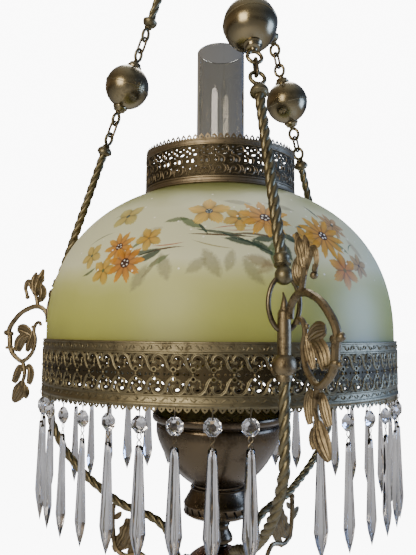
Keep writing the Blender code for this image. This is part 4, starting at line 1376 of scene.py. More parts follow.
@dataclass
class ChainCrown:
    """Turned crown that gathers the three legs under its top eye."""

    eye_r: float = 0.009
    eye_wire: float = 0.0025
    eye_high: float = -0.069
    lug_r: float = 0.0068
    lug_wire: float = 0.0019

    def build(self) -> None:
        """Build and mount the crown."""
        centre = self.eye_high - self.eye_r
        base = LEG_HEAD + RIM_Z
        top = centre - self.eye_r + 0.001
        outer = LEG_HEAD_R
        outline = [*offset(0, top, (0, 0.4), (4.4, 0), (5.8, -1.4), (5, -3), (7.8, -4.4), (8.4, -6.6), (7.8, -8.6),
            (11, -10.2), (16.8, -12.4), (21.5, -15.4)), (outer * 0.9, base + 0.02),
            *offset(outer, base, (0.4, 17.8), (2.6, 15.8), (3, 13.2), (2.2, 11.2), (0, 9)),
            *offset(0, base, (17, 8.4), (12, 8), (9.5, 5), (8, 2), (6.2, -1.8), (6.6, -4), (4.4, -6.2), (1.8, -7.8),
            (0, -8))]
        pieces = [turned("crown_body", outline, 56, Matrix())]
        run = ring_run(self.eye_r, 30, (0, 0, centre), (1, 0, 0), (0, 0, 1))
        pieces.append(wire("crown_eye", run, self.eye_wire, closed=True, sides=12))
        reach = LEG_LENGTH - 2 * self.lug_wire - 0.0003 + self.lug_r
        for index in range(ARMS):
            run = ring_run(self.lug_r, 24, (0, 0, reach), (1, 0, 0), (0, 0, 1))
            lug = wire("crown_lug", run, self.lug_wire, closed=True, sides=10)
            pieces.append(moved(lug, leg_place(index)))
        crown = joined("chain_crown_turned", pieces)
        fitted(crown, Body.FRAME, CAST_BRASS.material(), Slot.ANTIQUE, "chain_crown")


# ---- legs -------------------------------------------------------------------------------------------------
@dataclass
class Leg:
    """One leg: twisted lower rod, link, hollow ball, link and twisted upper rod. Distances run up the leg."""

    rod_r: float = 0.005
    rope_lead: float = 0.034
    ball_r: float = 0.0256
    ball_at: float = 0.261
    lower_eye: float = 0.221
    rod_top_eye: float = 0.196
    upper_eye: float = 0.301
    rod_low_eye: float = 0.326
    eye_r: float = 0.0068
    eye_wire: float = 0.0019
    link_wire: float = 0.0015
    knuckle_from_eye: float = 0.0085

    def build(self) -> None:
        """Model each piece once and set it on the three legs."""
        patterns = {"lower_rod": (self.lower_rod(), ROD_BRASS, Slot.ANTIQUE),
            "lower_link": (self.link("link_low", self.lower_eye, self.rod_top_eye), WIRE_BRASS, Slot.DARK),
            "chain_ball": (self.ball(), SPUN_BRASS, Slot.ANTIQUE), "upper_link": (
            self.link("link_high", self.rod_low_eye, self.upper_eye), WIRE_BRASS, Slot.DARK),
            "upper_rod": (self.upper_rod(), ROD_BRASS, Slot.ANTIQUE)}
        for node, (pattern, finish, slot) in patterns.items():
            for index in range(ARMS):
                piece = twin(pattern, f"{node}_finished_{index + 1}", leg_place(index))
                fitted(piece, Body.FRAME, finish.material(), slot, f"{node}_{index + 1}")
            bpy.data.objects.remove(pattern, do_unlink=True)

    def knuckle(self, at: float, way: int) -> Obj:
        """Bell-shaped knuckle; way is +1 with its mouth up the leg.

        Args:
            at: its distance along the leg.
            way: which way its mouth faces.

        Returns:
            The knuckle.
        """
        bell = [(0, -0.006), (0.003, -0.006), (0.0042, -0.0052), (0.0046, -0.0042), (0.004, -0.0036),
            (0.0056, -0.0026), (0.0074, -0.0008), (0.0084, 0.0014), (0.0087, 0.0034), (0.0083, 0.0048),
            (0.0068, 0.0056), (0.0064, 0.0064), (0.0054, 0.007), (0, 0.007)]
        return turned("knuckle", [(r, at + way * z) for r, z in bell], 28, Matrix())

    def twisted(self, low: float, high: float) -> Obj:
        """Straight twisted length between two distances."""
        steps = int((high - low) / 0.0019)
        points = [(0, 0, low + (high - low) * k / steps) for k in range(steps + 1)]
        return rope("twisted", points, self.rod_r, self.rope_lead)

    def lower_rod(self) -> Obj:
        """Twisted rod with its ferrule and ball knob at the foot and an eye at the head."""
        r = self.rod_r
        foot = [(0, -0.0073), (0.002, -0.007), (0.0038, -0.0062), (0.0056, -0.0046), (0.0068, -0.0022),
            (0.0072, 0.0002), (0.0069, 0.0026), (0.0058, 0.0048), (0.0046, 0.0062), (0.0043, 0.0074),
            (0.0052, 0.008), (0.0066, 0.0088), (0.0068, 0.01), (0.0058, 0.0108), (r + 0.0009, 0.012),
            (r + 0.0012, 0.0142), (r + 0.0016, 0.0156), (r + 0.0012, 0.0172), (r + 0.0002, 0.0182), (0, 0.0186)]
        top = self.rod_top_eye - self.eye_r - self.knuckle_from_eye + 0.002
        pieces = [turned("foot_knob", foot, 32, Matrix()), self.twisted(0.0165, top), self.knuckle(top, -1),
            eye_ring("eye", self.rod_top_eye, self.eye_r, self.eye_wire)]
        return joined("lower_rod_pattern", pieces)

    def upper_rod(self) -> Obj:
        """Twisted rod with an eye at each end."""
        head = LEG_LENGTH - self.eye_r
        low = self.rod_low_eye + self.eye_r + self.knuckle_from_eye - 0.002
        high = head - self.eye_r + 0.0005
        pieces = [self.twisted(low, high - 0.002), self.knuckle(low, 1),
            turned("tip", [(0, high - 0.006), (0.0055, high - 0.006), (0.006, high - 0.004), (0.0044, high - 0.001),
            (0.0028, high + 0.0008), (0, high + 0.0008)], 24, Matrix()),
            eye_ring("low_eye", self.rod_low_eye, self.eye_r, self.eye_wire),
            eye_ring("high_eye", head, self.eye_r, self.eye_wire)]
        return joined("upper_rod_pattern", pieces)

    def link(self, name: str, high: float, low: float) -> Obj:
        """Long link whose ends wrap the near wires of two eyes.

        Args:
            name: the object's name.
            high: distance of the upper eye.
            low: distance of the lower one.

        Returns:
            The link.
        """
        wrap = self.eye_wire + 0.0003 + self.link_wire
        run = loop_outline(wrap, high - low - 2 * self.eye_r, (0, 0, (high + low) / 2), (1, 0, 0), (0, 0, 1), 10)
        return wire(name, run, self.link_wire, closed=True, sides=10)

    def ball(self) -> Obj:
        """Hollow ball of two halves with its seam, a cup and an eye at each end."""
        r, c = self.ball_r, self.ball_at
        cup = [(0, r + 0.0078), (0.0026, r + 0.0076), (0.0034, r + 0.0066), (0.0036, r + 0.0056),
            (0.006, r + 0.0046), (0.0068, r + 0.0036), (0.007, r + 0.0022), (0.008, r + 0.0012),
            (0.0088, r + 0.0002), (0.0086, r - 0.001)]
        outline = [(x, c + z) for x, z in cup]
        first, seam = math.asin(0.0086 / r), 0.0011 / r
        half = 16
        for k in range(half + 1):
            a = first + (math.pi / 2 - seam - first) * k / half
            outline.append((r * math.sin(a), c + r * math.cos(a)))
        lip = 0.00055
        outline += [(r + lip, c + 0.001), (r + lip, c - 0.0007), (r + 0.0001, c - 0.0011)]
        for k in range(half + 1):
            a = math.pi / 2 + seam + (math.pi / 2 - seam - first) * k / half
            outline.append((r * math.sin(a), c + r * math.cos(a)))
        outline += [(x, c - z) for x, z in reversed(cup)]
        pieces = [turned("ball", outline, 56, Matrix()), eye_ring("eye_low", self.lower_eye, self.eye_r,
            self.eye_wire), eye_ring("eye_high", self.upper_eye, self.eye_r, self.eye_wire)]
        return joined("ball_pattern", pieces)


@dataclass
class Bail:
    """Oval wire bail from a rod's knob down to an arm's post."""

    wire_r: float = 0.002
    half_width: float = 0.0125
    tall: float = 0.042

    def build(self) -> None:
        """Bend one bail an arm."""
        middle = LEG_FOOT - self.tall / 2
        for index in range(ARMS):
            run = [(POST_R, self.half_width * math.cos(a), middle + self.tall / 2 * math.sin(a))
                for a in (math.tau * k / 36 for k in range(36))]
            piece = wire(f"bail_bent_{index + 1}", run, self.wire_r, closed=True, sides=10)
            moved(piece, arm_place(index))
            fitted(piece, Body.FRAME, WIRE_BRASS.material(), Slot.DARK, f"bail_{index + 1}")


# ---- arms and castings ------------------------------------------------------------------------------------
@dataclass
class Arm:
    """Cast post with its horn, collar and lug, and the twisted rod that sweeps in to the hub."""

    rod_r: float = 0.0048
    rope_lead: float = 0.033
    body_r: float = 0.0052
    meet_height: float = 0.022
    curve: tuple[tuple[float, float], ...] = ((1.0, -0.022), (1.0, -0.085), (0.963, -0.105), (0.889, -0.125),
        (0.796, -0.142), (0.66, -0.16), (0.432, -0.182), (0.259, -0.19), (0.142, -0.198), (0.062, -0.212))

    def path(self) -> list[Vector]:
        """Centre line of the rod, in the arm's frame."""
        meet = math.sqrt(HUB_R**2 - self.meet_height**2) + 0.0035 + self.rod_r * 0.8
        line = [(HUB_R + share * (POST_R - HUB_R), 0, z) for share, z in self.curve]
        return smooth_run([*line, (meet, 0, HUB_CENTRE + self.meet_height)], 0.0019)

    def build(self) -> None:
        """Model one arm and set it in the three places."""
        b = self.body_r
        post = [(0, 0.0268), (0.0022, 0.0264), (0.004, 0.0252), (0.005, 0.0226),
            *offset(b, 0, (0, 18), (0.2, 6), (0, -6), (0.1, -8.6)), (0.0066, -0.0096), (0.0082, -0.0116),
            (0.009, -0.0146), (0.0092, -0.0176), (0.0086, -0.0204), (0.0072, -0.0222), (0.0062, -0.0236),
            (0.0064, -0.0256), (0.0058, -0.0284), (0, -0.029)]
        place = slid(POST_R, 0, 0)
        body = turned("post", post, 28, place)
        horn = wire("horn", smooth_run([(POST_R, 0, 0.02), (POST_R + 0.0008, 0, 0.028), (POST_R, 0, 0.034),
            (POST_R - 0.0024, 0, 0.0385)], 0.0016), 0.0042, sides=10, taper=[1.0, 0.98, 0.94, 0.88, 0.82, 0.74,
            0.66, 0.56, 0.46, 0.36, 0.26, 0.2, 0.14, 0.1])
        lug = rod("lug", 0.003, GALLERY_R + 0.0004, POST_R - 0.002, 16)
        nut = rod("lug_nut", 0.005, GALLERY_R + 0.0004, GALLERY_R + 0.0034, 6)
        for part in (lug, nut):
            moved(part, slid(0, 0, -0.021) @ spun(math.pi / 2, "Y"))
        cast = joined("post_pattern", [body, horn, lug, nut])
        twisted = rope("arm_pattern", self.path(), self.rod_r, self.rope_lead)
        for index in range(ARMS):
            piece = twin(cast, f"arm_post_cast_{index + 1}", arm_place(index))
            fitted(piece, Body.FRAME, CAST_BRASS.material(), Slot.ANTIQUE, f"arm_{index + 1}")
            piece = twin(twisted, f"arm_rod_twisted_{index + 1}", arm_place(index))
            fitted(piece, Body.FRAME, ROD_BRASS.material(), Slot.ANTIQUE, f"arm_{index + 1}")
        for pattern in (cast, twisted):
            bpy.data.objects.remove(pattern, do_unlink=True)

    def height_at(self, radius: float) -> float:
        """Height of the rod's centre line where it crosses a radius."""
        path = self.path()
        for outer, inner in zip(path, path[1:]):
            if inner.x <= radius <= outer.x and outer.x > inner.x:
                return inner.z + (outer.z - inner.z) * (radius - inner.x) / (outer.x - inner.x)
        return path[-1].z


@dataclass
class UpperBracket:
    """Leaf casting outside a post: an arch, a leaf on a loop, a spray above and a trio of leaves below."""

    turn_deg: tuple[float, ...] = (15.0, 0.0, 0.0)
    design: tuple[Leaf | Stem | Boss, ...] = (Stem(((7.6, 18), (8.5, 26.5), (12, 32), (18, 36.2), (26, 37),
        (35, 34.3), (45, 29), (54, 20), (59.5, 12), (62, 4)), 3.5, 0.85, 0.9),
        Stem(((60.5, 6), (59, -3), (58.3, -12), (54, -20), (47, -26), (41, -28.5), (34, -25), (28, -18.5),
        (24.5, -10), (23.8, -1), (26, 6), (25.5, 12.5), (22, 17.5), (18, 17.5), (17, 14)), 3.3, 1.0, 0.62),
        Boss((64.2, 5.4), (4.6, 4.0, 3.8), 20), Boss((57.4, 4.2), (3.6, 3.6, 3.4)),
        Boss((58.6, -11.8), (4.8, 3.4, 4.4), 10), Boss((63.0, -12.6), (2.6, 2.4, 2.6)),
        Boss((27.5, 12.5), (3.0, 2.6, 2.4)),
        # ribbed leaf of three round lobes inside the loop
        Leaf(((28.5, 2), (34, 6), (41, 9.2), (49, 10.5)), 7.2, 0.6, 0.5, 0.35),
        Leaf(((33, 2.5), (40, 0), (45.5, -7), (48, -17)), 7.8, 0.55, 0.5, 0.4),
        Leaf(((27.5, 7), (28.8, 0), (31.5, -8), (35, -17)), 5.6, 0.5, 0.4, 0.45),
        Stem(((57, -12), (53, -14.5), (48, -15.5)), 1.9, 1.0, 1.0),
        # spoon-shaped leaves that hang under the loop
        Stem(((40.5, -28), (38.4, -35), (37, -44), (39, -52), (42, -58)), 2.5, 1.0, 0.9),
        Leaf(((36.6, -38), (31.5, -34.5), (28.6, -40), (29, -48), (31, -55.5)), 5.2, 0.6, 0.6, 0.35),
        Leaf(((39.4, -40), (44, -36), (46.6, -42), (49, -48.5), (52, -54)), 5.6, 0.6, 0.6, 0.35),
        Leaf(((39.5, -52), (41.5, -60), (45.5, -68), (51.5, -77)), 9.4, 0.45, 0.25, 0.4),
        Leaf(((39, -56), (34.5, -61), (33.5, -67), (35.5, -72)), 4.4, 0.55, 0.5, 0.4),
        # spray above the arch, with a hooked tendril
        Stem(((21, 35.5), (22.5, 41), (24.5, 48.5), (27, 55)), 2.6, 1.0, 0.9),
        Leaf(((24.4, 45), (18.5, 46.5), (15.6, 52), (16.2, 58), (19.5, 64)), 5.8, 0.5, 0.3, 0.4),
        Leaf(((25.5, 49), (24, 58), (21.5, 67), (18, 75), (15.5, 82)), 6.8, 0.45, 0.16, 0.4, 3),
        Leaf(((26.8, 52), (28.8, 61), (28.2, 70), (25, 78.5)), 4.8, 0.5, 0.22, 0.4),
        Leaf(((27.4, 52), (31, 60), (34.5, 66.5), (38, 65.5), (39.6, 59), (38, 52)), 3.6, 0.5, 0.4, 0.5),
        Stem(((38.6, 56), (37.4, 51)), 2.2, 1.0, 1.0), Boss((36.6, 48.5), (3.4, 3.4, 3.4)))

    def build(self) -> None:
        """Model the casting once and set one outside each post."""
        pattern = cast_from("upper_bracket_pattern", self.design)
        for index, turn in enumerate(self.turn_deg):
            place = arm_place(index) @ slid(POST_R, 0, 0)
            place = place @ spun(math.radians(turn), "Z")
            piece = twin(pattern, f"upper_leaf_casting_{index + 1}", place)
            fitted(piece, Body.FRAME, CAST_BRASS.material(), Slot.ANTIQUE, f"upper_bracket_{index + 1}")
        bpy.data.objects.remove(pattern, do_unlink=True)


@dataclass
class LowerBracket:
    """Leaf casting that hangs from an arm's rod beside the hub by a strap."""

    share: float = 0.488
    slope: float = 0.62
    design: tuple[Leaf | Stem | Boss, ...] = (Stem(((0, 1.5), (0, -11), (-0.6, -26), (-3.5, -42), (-10, -50),
        (-18, -52), (-27, -49.5), (-35, -48.5), (-41, -53), (-46, -61)), 3.3, 0.9, 0.8),
        Leaf(((-1, -47), (-9, -42), (-15, -33), (-18.5, -23), (-19.5, -12)), 9.6, 0.55, 0.3, 0.35, 3),
        Leaf(((-20, -50), (-27, -41), (-31, -32), (-37.5, -22)), 7.0, 0.55, 0.3, 0.4, 0),
        Leaf(((-2, -30), (2, -24), (7.5, -19), (12.5, -15.5)), 5.4, 0.55, 0.3, 0.4, 0),
        Leaf(((-1, -14), (-6, -11), (-11, -6)), 3.4, 0.5, 0.2, 0.4, 0), Leaf(((-44, -57), (-47, -63), (-50, -70.5)),
        5.6, 0.55, 0.3, 0.5, 0), Boss((0, -1.5), (4.4, 3.0, 3.8)), Boss((-20, -52.5), (3.6, 3.2, 3.2)))

    def build(self, arm: Arm) -> None:
        """Model the casting once and hang one from each arm.

        Args:
            arm: the arm whose rod carries it.
        """
        radius = HUB_R + self.share * (POST_R - HUB_R)
        top = arm.height_at(radius) - arm.rod_r - self.slope * 0.0036 - 0.0009
        pattern = cast_from("lower_bracket_pattern", self.design)
        for index in range(ARMS):
            piece = twin(pattern, f"lower_leaf_casting_{index + 1}", arm_place(index) @ slid(radius, 0, top))
            fitted(piece, Body.FRAME, CAST_BRASS.material(), Slot.ANTIQUE, f"lower_bracket_{index + 1}")
        bpy.data.objects.remove(pattern, do_unlink=True)


# ---- pierced bands ----------------------------------------------------------------------------------------
@dataclass(frozen=True)
class Band:
    """A flat pattern line of a pierced band, in mm, X round to the right and Y up; width is its half width."""

    line: tuple[tuple[float, float], ...]
    half_width: float
    step: float = 1.6
    end: float = 1.0

    def build(self, name: str) -> Obj:
        """Sweep the line, flat in XY.

        Args:
            name: the object's name.

        Returns:
            The line's strip.
        """
        run = smooth_run([(x * MM, y * MM, 0) for x, y in self.line], self.step * MM)
        last = len(run) - 1
        widths = [self.half_width * MM * (1 + (self.end - 1) * max(0.0, 1 - min(k, last - k) / 2))
            for k in range(last + 1)]
        return swept(name, run, BAND_SECTION, widths)


def wrapped(obj: Obj, radius: float, height: float) -> Obj:
    """Wrap a flat pattern (X round, Y up, Z out) on a ring about the lamp's axis, facing outwards.

    Args:
        obj: the flat pattern.
        radius: the ring's radius.
        height: height of the pattern's origin from the gallery's rim.

    Returns:
        The same object.
    """
    for vertex in obj.data.vertices:
        along, up, out = vertex.co
        turn = along / radius
        vertex.co = ((radius + out) * math.cos(turn), (radius + out) * math.sin(turn), RIM_Z + height + up)
    return obj


def ring_of(name: str, pieces: Sequence[Obj], count: int, radius: float, height: float, phase: float = 0.0) -> Obj:
    """Join a flat pattern, wrap it and repeat it all the way round.

    Args:
        name: the object's name.
        pieces: the flat pattern's parts.
        count: how many repeats.
        radius: the ring's radius.
        height: height of the pattern's origin from the rim.
        phase: place of the first one, in repeats.

    Returns:
        The whole ring.
    """
    unit = wrapped(joined(name + "_unit", pieces), radius, height)
    turns = [spun(math.tau * (k + phase) / count, "Z") for k in range(count)]
    return repeated(name, unit, turns)


@dataclass(frozen=True)
class Hole:
    """One hole of a pierced sheet, in mm: centre, half sizes, turn in degrees and sides."""

    x: float
    y: float
    half_wide: float
    half_tall: float
    turn: float = 0.0
    sides: int = 8


def pierced_sheet(name: str, middle: float, wide: float, low: float, high: float, holes: Sequence[Hole],
        thick: float, shrink: float = 0.8) -> Obj:
    """One repeat of a pierced sheet, flat in XY, open at its two sides so that repeats join up.

    Args:
        name: the object's name.
        middle: X of its middle, in mm.
        wide: its width, one pitch, in mm.
        low: its lower edge, in mm.
        high: its upper edge, in mm.
        holes: what is cut out.
        thick: thickness of the sheet in mm.
        shrink: how far old lacquer has closed the holes.

    Returns:
        The sheet.
    """
    pick()
    bpy.ops.mesh.primitive_cube_add(size=1, location=(middle * MM, (low + high) / 2 * MM, 0),
        scale=(wide * MM, (high - low) * MM, thick * MM))
    sheet = settled(name)
    cutters = []
    for hole in holes:
        pick()
        bpy.ops.mesh.primitive_cylinder_add(vertices=hole.sides, radius=1, depth=4 * thick * MM)
        cutter = moved(settled("punch"), spun(math.pi / hole.sides, "Z"))
        moved(cutter, Matrix.Diagonal((hole.half_wide * shrink * MM, hole.half_tall * shrink * MM, 1, 1)))
        turn = spun(math.radians(hole.turn), "Z")
        cutters.append(moved(cutter, slid(hole.x * MM, hole.y * MM, 0) @ turn))
    punch = joined("punches", cutters)
    modified(sheet, "BOOLEAN", object=punch, operation="DIFFERENCE", solver="EXACT")
    bpy.data.objects.remove(punch, do_unlink=True)
    modified(sheet, "TRIANGULATE")
    pick(sheet)
    bpy.ops.object.mode_set(mode="EDIT")
    bpy.ops.mesh.select_mode(type="FACE")
    bpy.ops.mesh.select_all(action="DESELECT")
    bpy.ops.object.mode_set(mode="OBJECT")
    for face in sheet.data.polygons:
        side = abs(abs(face.center.x - middle * MM) - wide * MM / 2) < 1e-6
        face.select = side and abs(face.normal.x) > 0.9
    bpy.ops.object.mode_set(mode="EDIT")
    bpy.ops.mesh.delete(type="FACE")
    bpy.ops.object.mode_set(mode="OBJECT")
    return sheet


def tooth(name: str, wide: float, tall: float, hole: float, thick: float) -> Obj:
    """A pierced pointed tooth of sheet, hanging from its base line, flat in XY.

    Args:
        name: the object's name.
        wide: width of its base.
        tall: its height, negative when it points down.
        hole: radius of its hole.
        thick: thickness of the sheet.

    Returns:
        The tooth.
    """
    pick()
    bpy.ops.mesh.primitive_circle_add(vertices=6, radius=hole, fill_type="NOTHING")
    obj = settled(name)
    moved(obj, slid(0, tall * 0.4, 0))
    edge = [(0.5, 0.0), (0.3, 0.62), (0.0, 1.0), (-0.3, 0.62), (-0.5, 0.0), (0.0, 0.0)]
    with editing(obj):
        bpy.ops.mesh.extrude_edges_move()
    rim = sorted(obj.data.vertices[6:], key=lambda v: math.atan2(v.co.y - tall * 0.4, v.co.x) % math.tau)
    corners = sorted(((x * wide, y * tall) for x, y in edge), key=lambda p: math.atan2(p[1] - tall * 0.4,
        p[0]) % math.tau)
    for vertex, (x, y) in zip(rim, corners):
        vertex.co = (x, y, 0)
    with editing(obj):
        bpy.ops.mesh.normals_make_consistent(inside=False)
    return modified(obj, "SOLIDIFY", thickness=thick, offset=0.0)


@dataclass
class Gallery:
    """The pierced band that carries the shade and the drops."""

    radius: float = GALLERY_R
    wall: float = 0.0012
    height: float = 0.053
    ledge_depth: float = 0.0065
    ledge_width: float = 0.01
    repeats: int = 72
    teeth: int = 168
    upper_ring_z: float = -0.0214
    lower_ring_z: float = -0.0288
    hood: tuple[tuple[float, float], ...] = ((2.0, 6.4), (0.6, 5.0), (-0.9, 6.1), (-1.1, 8.7), (0.9, 11.2),
        (3.6, 12.0), (6.7, 11.0), (9.2, 8.3), (10.5, 4.7), (11.9, 1.6), (13.6, -0.9))
    bud: tuple[tuple[float, float], ...] = ((-2.2, 0.6), (-4.5, 1.1), (-5.8, 3.8), (-5.8, 8.3), (-4.5, 11.2),
        (-2.9, 11.4), (-2.3, 9.2))

    def build(self) -> None:
        """Build the strips, both rows of lace and the teeth."""
        self.strips()
        self.sheet()
        self.lace("upper", self.upper_ring_z, 1)
        self.lace("lower", self.lower_ring_z, -1)
        self.relief()
        self.edge_teeth()

    def sheet(self) -> None:
        """The pierced sheet behind both rows of scrolls, dark as painted shade."""
        drop = (self.upper_ring_z - self.lower_ring_z) / MM
        row = (Hole(0, 0, 1.25, 1.25), Hole(-4.6, 8.3, 0.85, 2.1), Hole(-3.3, 4.3, 1.0, 1.1),
            Hole(3.3, 8.4, 2.2, 1.15, -12), Hole(7.3, 3.4, 0.9, 1.9, -40), Hole(3.3, 3.0, 0.8, 1.1, 20))
        holes = [*row, Hole(3.3, -drop / 2, 1.9, 1.7, 0), Hole(8.9, -drop / 2, 1.35, 1.5, 0, 6)]
        holes += [Hole(h.x, -drop - h.y, h.half_wide, h.half_tall, -h.turn, h.sides) for h in row]
        holes.append(Hole(-3.6, -drop / 2, 1.2, 1.2, 0, 6))
        pitch = math.tau * self.radius / self.repeats / MM
        unit = pierced_sheet("sheet", 2.38, pitch, -drop - 12.4, 12.4, holes, 0.8)
        sheet = ring_of("gallery_pierced_sheet", [unit], self.repeats, self.radius - 0.0009, self.upper_ring_z)
        with editing(sheet):
            bpy.ops.mesh.remove_doubles(threshold=1e-5)
        # its dark brass is painted shade: the shade in the recesses behind the scrolls
        fitted(sheet, Body.FRAME, RECESS_SHADE_BRASS.material(), Slot.ANTIQUE, "shade_gallery", angle=35)

    def strips(self) -> None:
        """Solid upper and lower strips, their beads and the ledge for the glass."""
        r, i = self.radius - 0.0002, self.radius - self.wall
        upper = [(i, 0.0), (i + 0.0003, 0.0006), *offset(r, 0, (-0.2, 0.6), (0.3, 0.1), (0.3, -0.9), (-0.3, -1.4),
            (-0.3, -7.6), (0.3, -8.1), (0.3, -9.1), (-0.3, -9.6)), (i, -0.0096), (i, -self.ledge_depth - 0.0012),
            (i - self.ledge_width, -self.ledge_depth - 0.0012), (i - self.ledge_width, -self.ledge_depth),
            (i, -self.ledge_depth), (i, 0.0)]
        lower = [(i, -0.0404), *offset(r, 0, (-0.3, -40.4), (0.3, -40.9), (0.3, -41.8), (-0.3, -42.3), (-0.3, -47),
            (0.2, -47.6), (0.6, -48.4), (0.6, -49.8), (0.2, -50.5), (-0.3, -51)), (i, -0.051), (i, -0.0404)]
        rings = joined("gallery_strips", [turned("upper", upper, 144), turned("lower", lower, 144)])
        fitted(rings, Body.FRAME, PRESSED_BRASS.material(), Slot.ANTIQUE, "shade_gallery", angle=50)

    def lace(self, row: str, ring_z: float, way: int) -> None:
        """One row of pierced scrolls.

        Args:
            row: its name.
            ring_z: height of its eyes.
            way: +1 with the hoods up, -1 mirrored down.
        """
        ring = [(1.95 * math.cos(a), 1.95 * math.sin(a)) for a in (math.tau * k / 10 for k in range(10))]
        pieces = [Band(tuple((x, way * y) for x, y in self.hood), 1.3, 1.7, 0.75).build("hood"),
            Band(tuple((x, way * y) for x, y in self.bud), 1.0, 1.9, 0.75).build("bud"),
            wire("eye", [(x * MM, y * MM, 0) for x, y in ring], 0.75 * MM, closed=True, sides=6)]
        for x, y, wide, tall, turn in ((5.6, 6.2, 2.0, 1.1, 50), (9.6, 9.9, 1.5, 0.9, -50),
                (4.9, 1.4, 2.1, 1.0, -20), (-2.7, 6.3, 0.9, 1.5, 0)):
            pick()
            bpy.ops.mesh.primitive_ico_sphere_add(subdivisions=1, radius=1)
            leaf = settled("leaf")
            moved(leaf, Matrix.Diagonal((wide * MM, tall * MM, 0.9 * MM, 1)))
            moved(leaf, spun(math.radians(turn * way), "Z"))
            pieces.append(moved(leaf, slid(x * MM, way * y * MM, 0)))
        stalk = Band(((2.2, 0.2 * way), (4.4, 0.6 * way), (5.8, 2.8 * way), (5.2, 5.4 * way)), 0.75, 1.7)
        pieces.append(stalk.build("stalk"))
        if way > 0:
            pick()
            bpy.ops.mesh.primitive_ico_sphere_add(subdivisions=1, radius=1.6 * MM)
            knot = settled("knot")
            pieces.append(moved(knot, slid(0, (self.lower_ring_z - ring_z) / 2, 0)))
        lace = ring_of(f"gallery_lace_{row}", pieces, self.repeats, self.radius - 0.0007, ring_z)
        fitted(lace, Body.FRAME, PRESSED_BRASS.material(), Slot.ANTIQUE, "shade_gallery", angle=60)

    def relief(self) -> None:
        """Low curls raised on the two solid strips."""
        pieces = [Band(((-6.5, -1.6), (-4.6, 1.5), (-2.4, 1.2), (-2.2, -0.6), (-3.8, -0.9)), 0.62, 1.9,
            0.6).build("c"), Band(((0.4, 1.5), (2.6, 1.7), (3.9, -0.3), (5.6, -1.7), (7.4, -0.6), (6.6, 0.9)), 0.62,
            1.9, 0.6).build("s")]
        top = ring_of("relief_top", pieces, self.repeats, self.radius - 0.0003, -0.0045)
        pieces = [Band(((-7.2, 0.8), (-5.2, -1.2), (-2.9, -0.9), (-2.4, 0.6), (-3.9, 1.0)), 0.58, 1.9,
            0.6).build("c"), Band(((-0.2, -1.2), (2.0, -1.3), (3.5, 0.4), (5.4, 1.2), (7.2, 0.0)), 0.58, 1.9,
            0.6).build("s")]
        low = ring_of("relief_low", pieces, self.repeats, self.radius - 0.0003, -0.0447, 0.3)
        curls = joined("gallery_relief", [top, low])
        fitted(curls, Body.FRAME, PRESSED_BRASS.material(), Slot.ANTIQUE, "shade_gallery", angle=60)

    def edge_teeth(self) -> None:
        """Row of pierced pointed teeth along the lower edge."""
        wide = math.tau * self.radius / self.teeth * 0.98
        unit = tooth("tooth", wide, -0.0042, 0.00085, 0.001)
        teeth = ring_of("gallery_teeth", [unit], self.teeth, self.radius - 0.0007, -0.0506)
        fitted(teeth, Body.FRAME, PRESSED_BRASS.material(), Slot.ANTIQUE, "shade_gallery", angle=30)


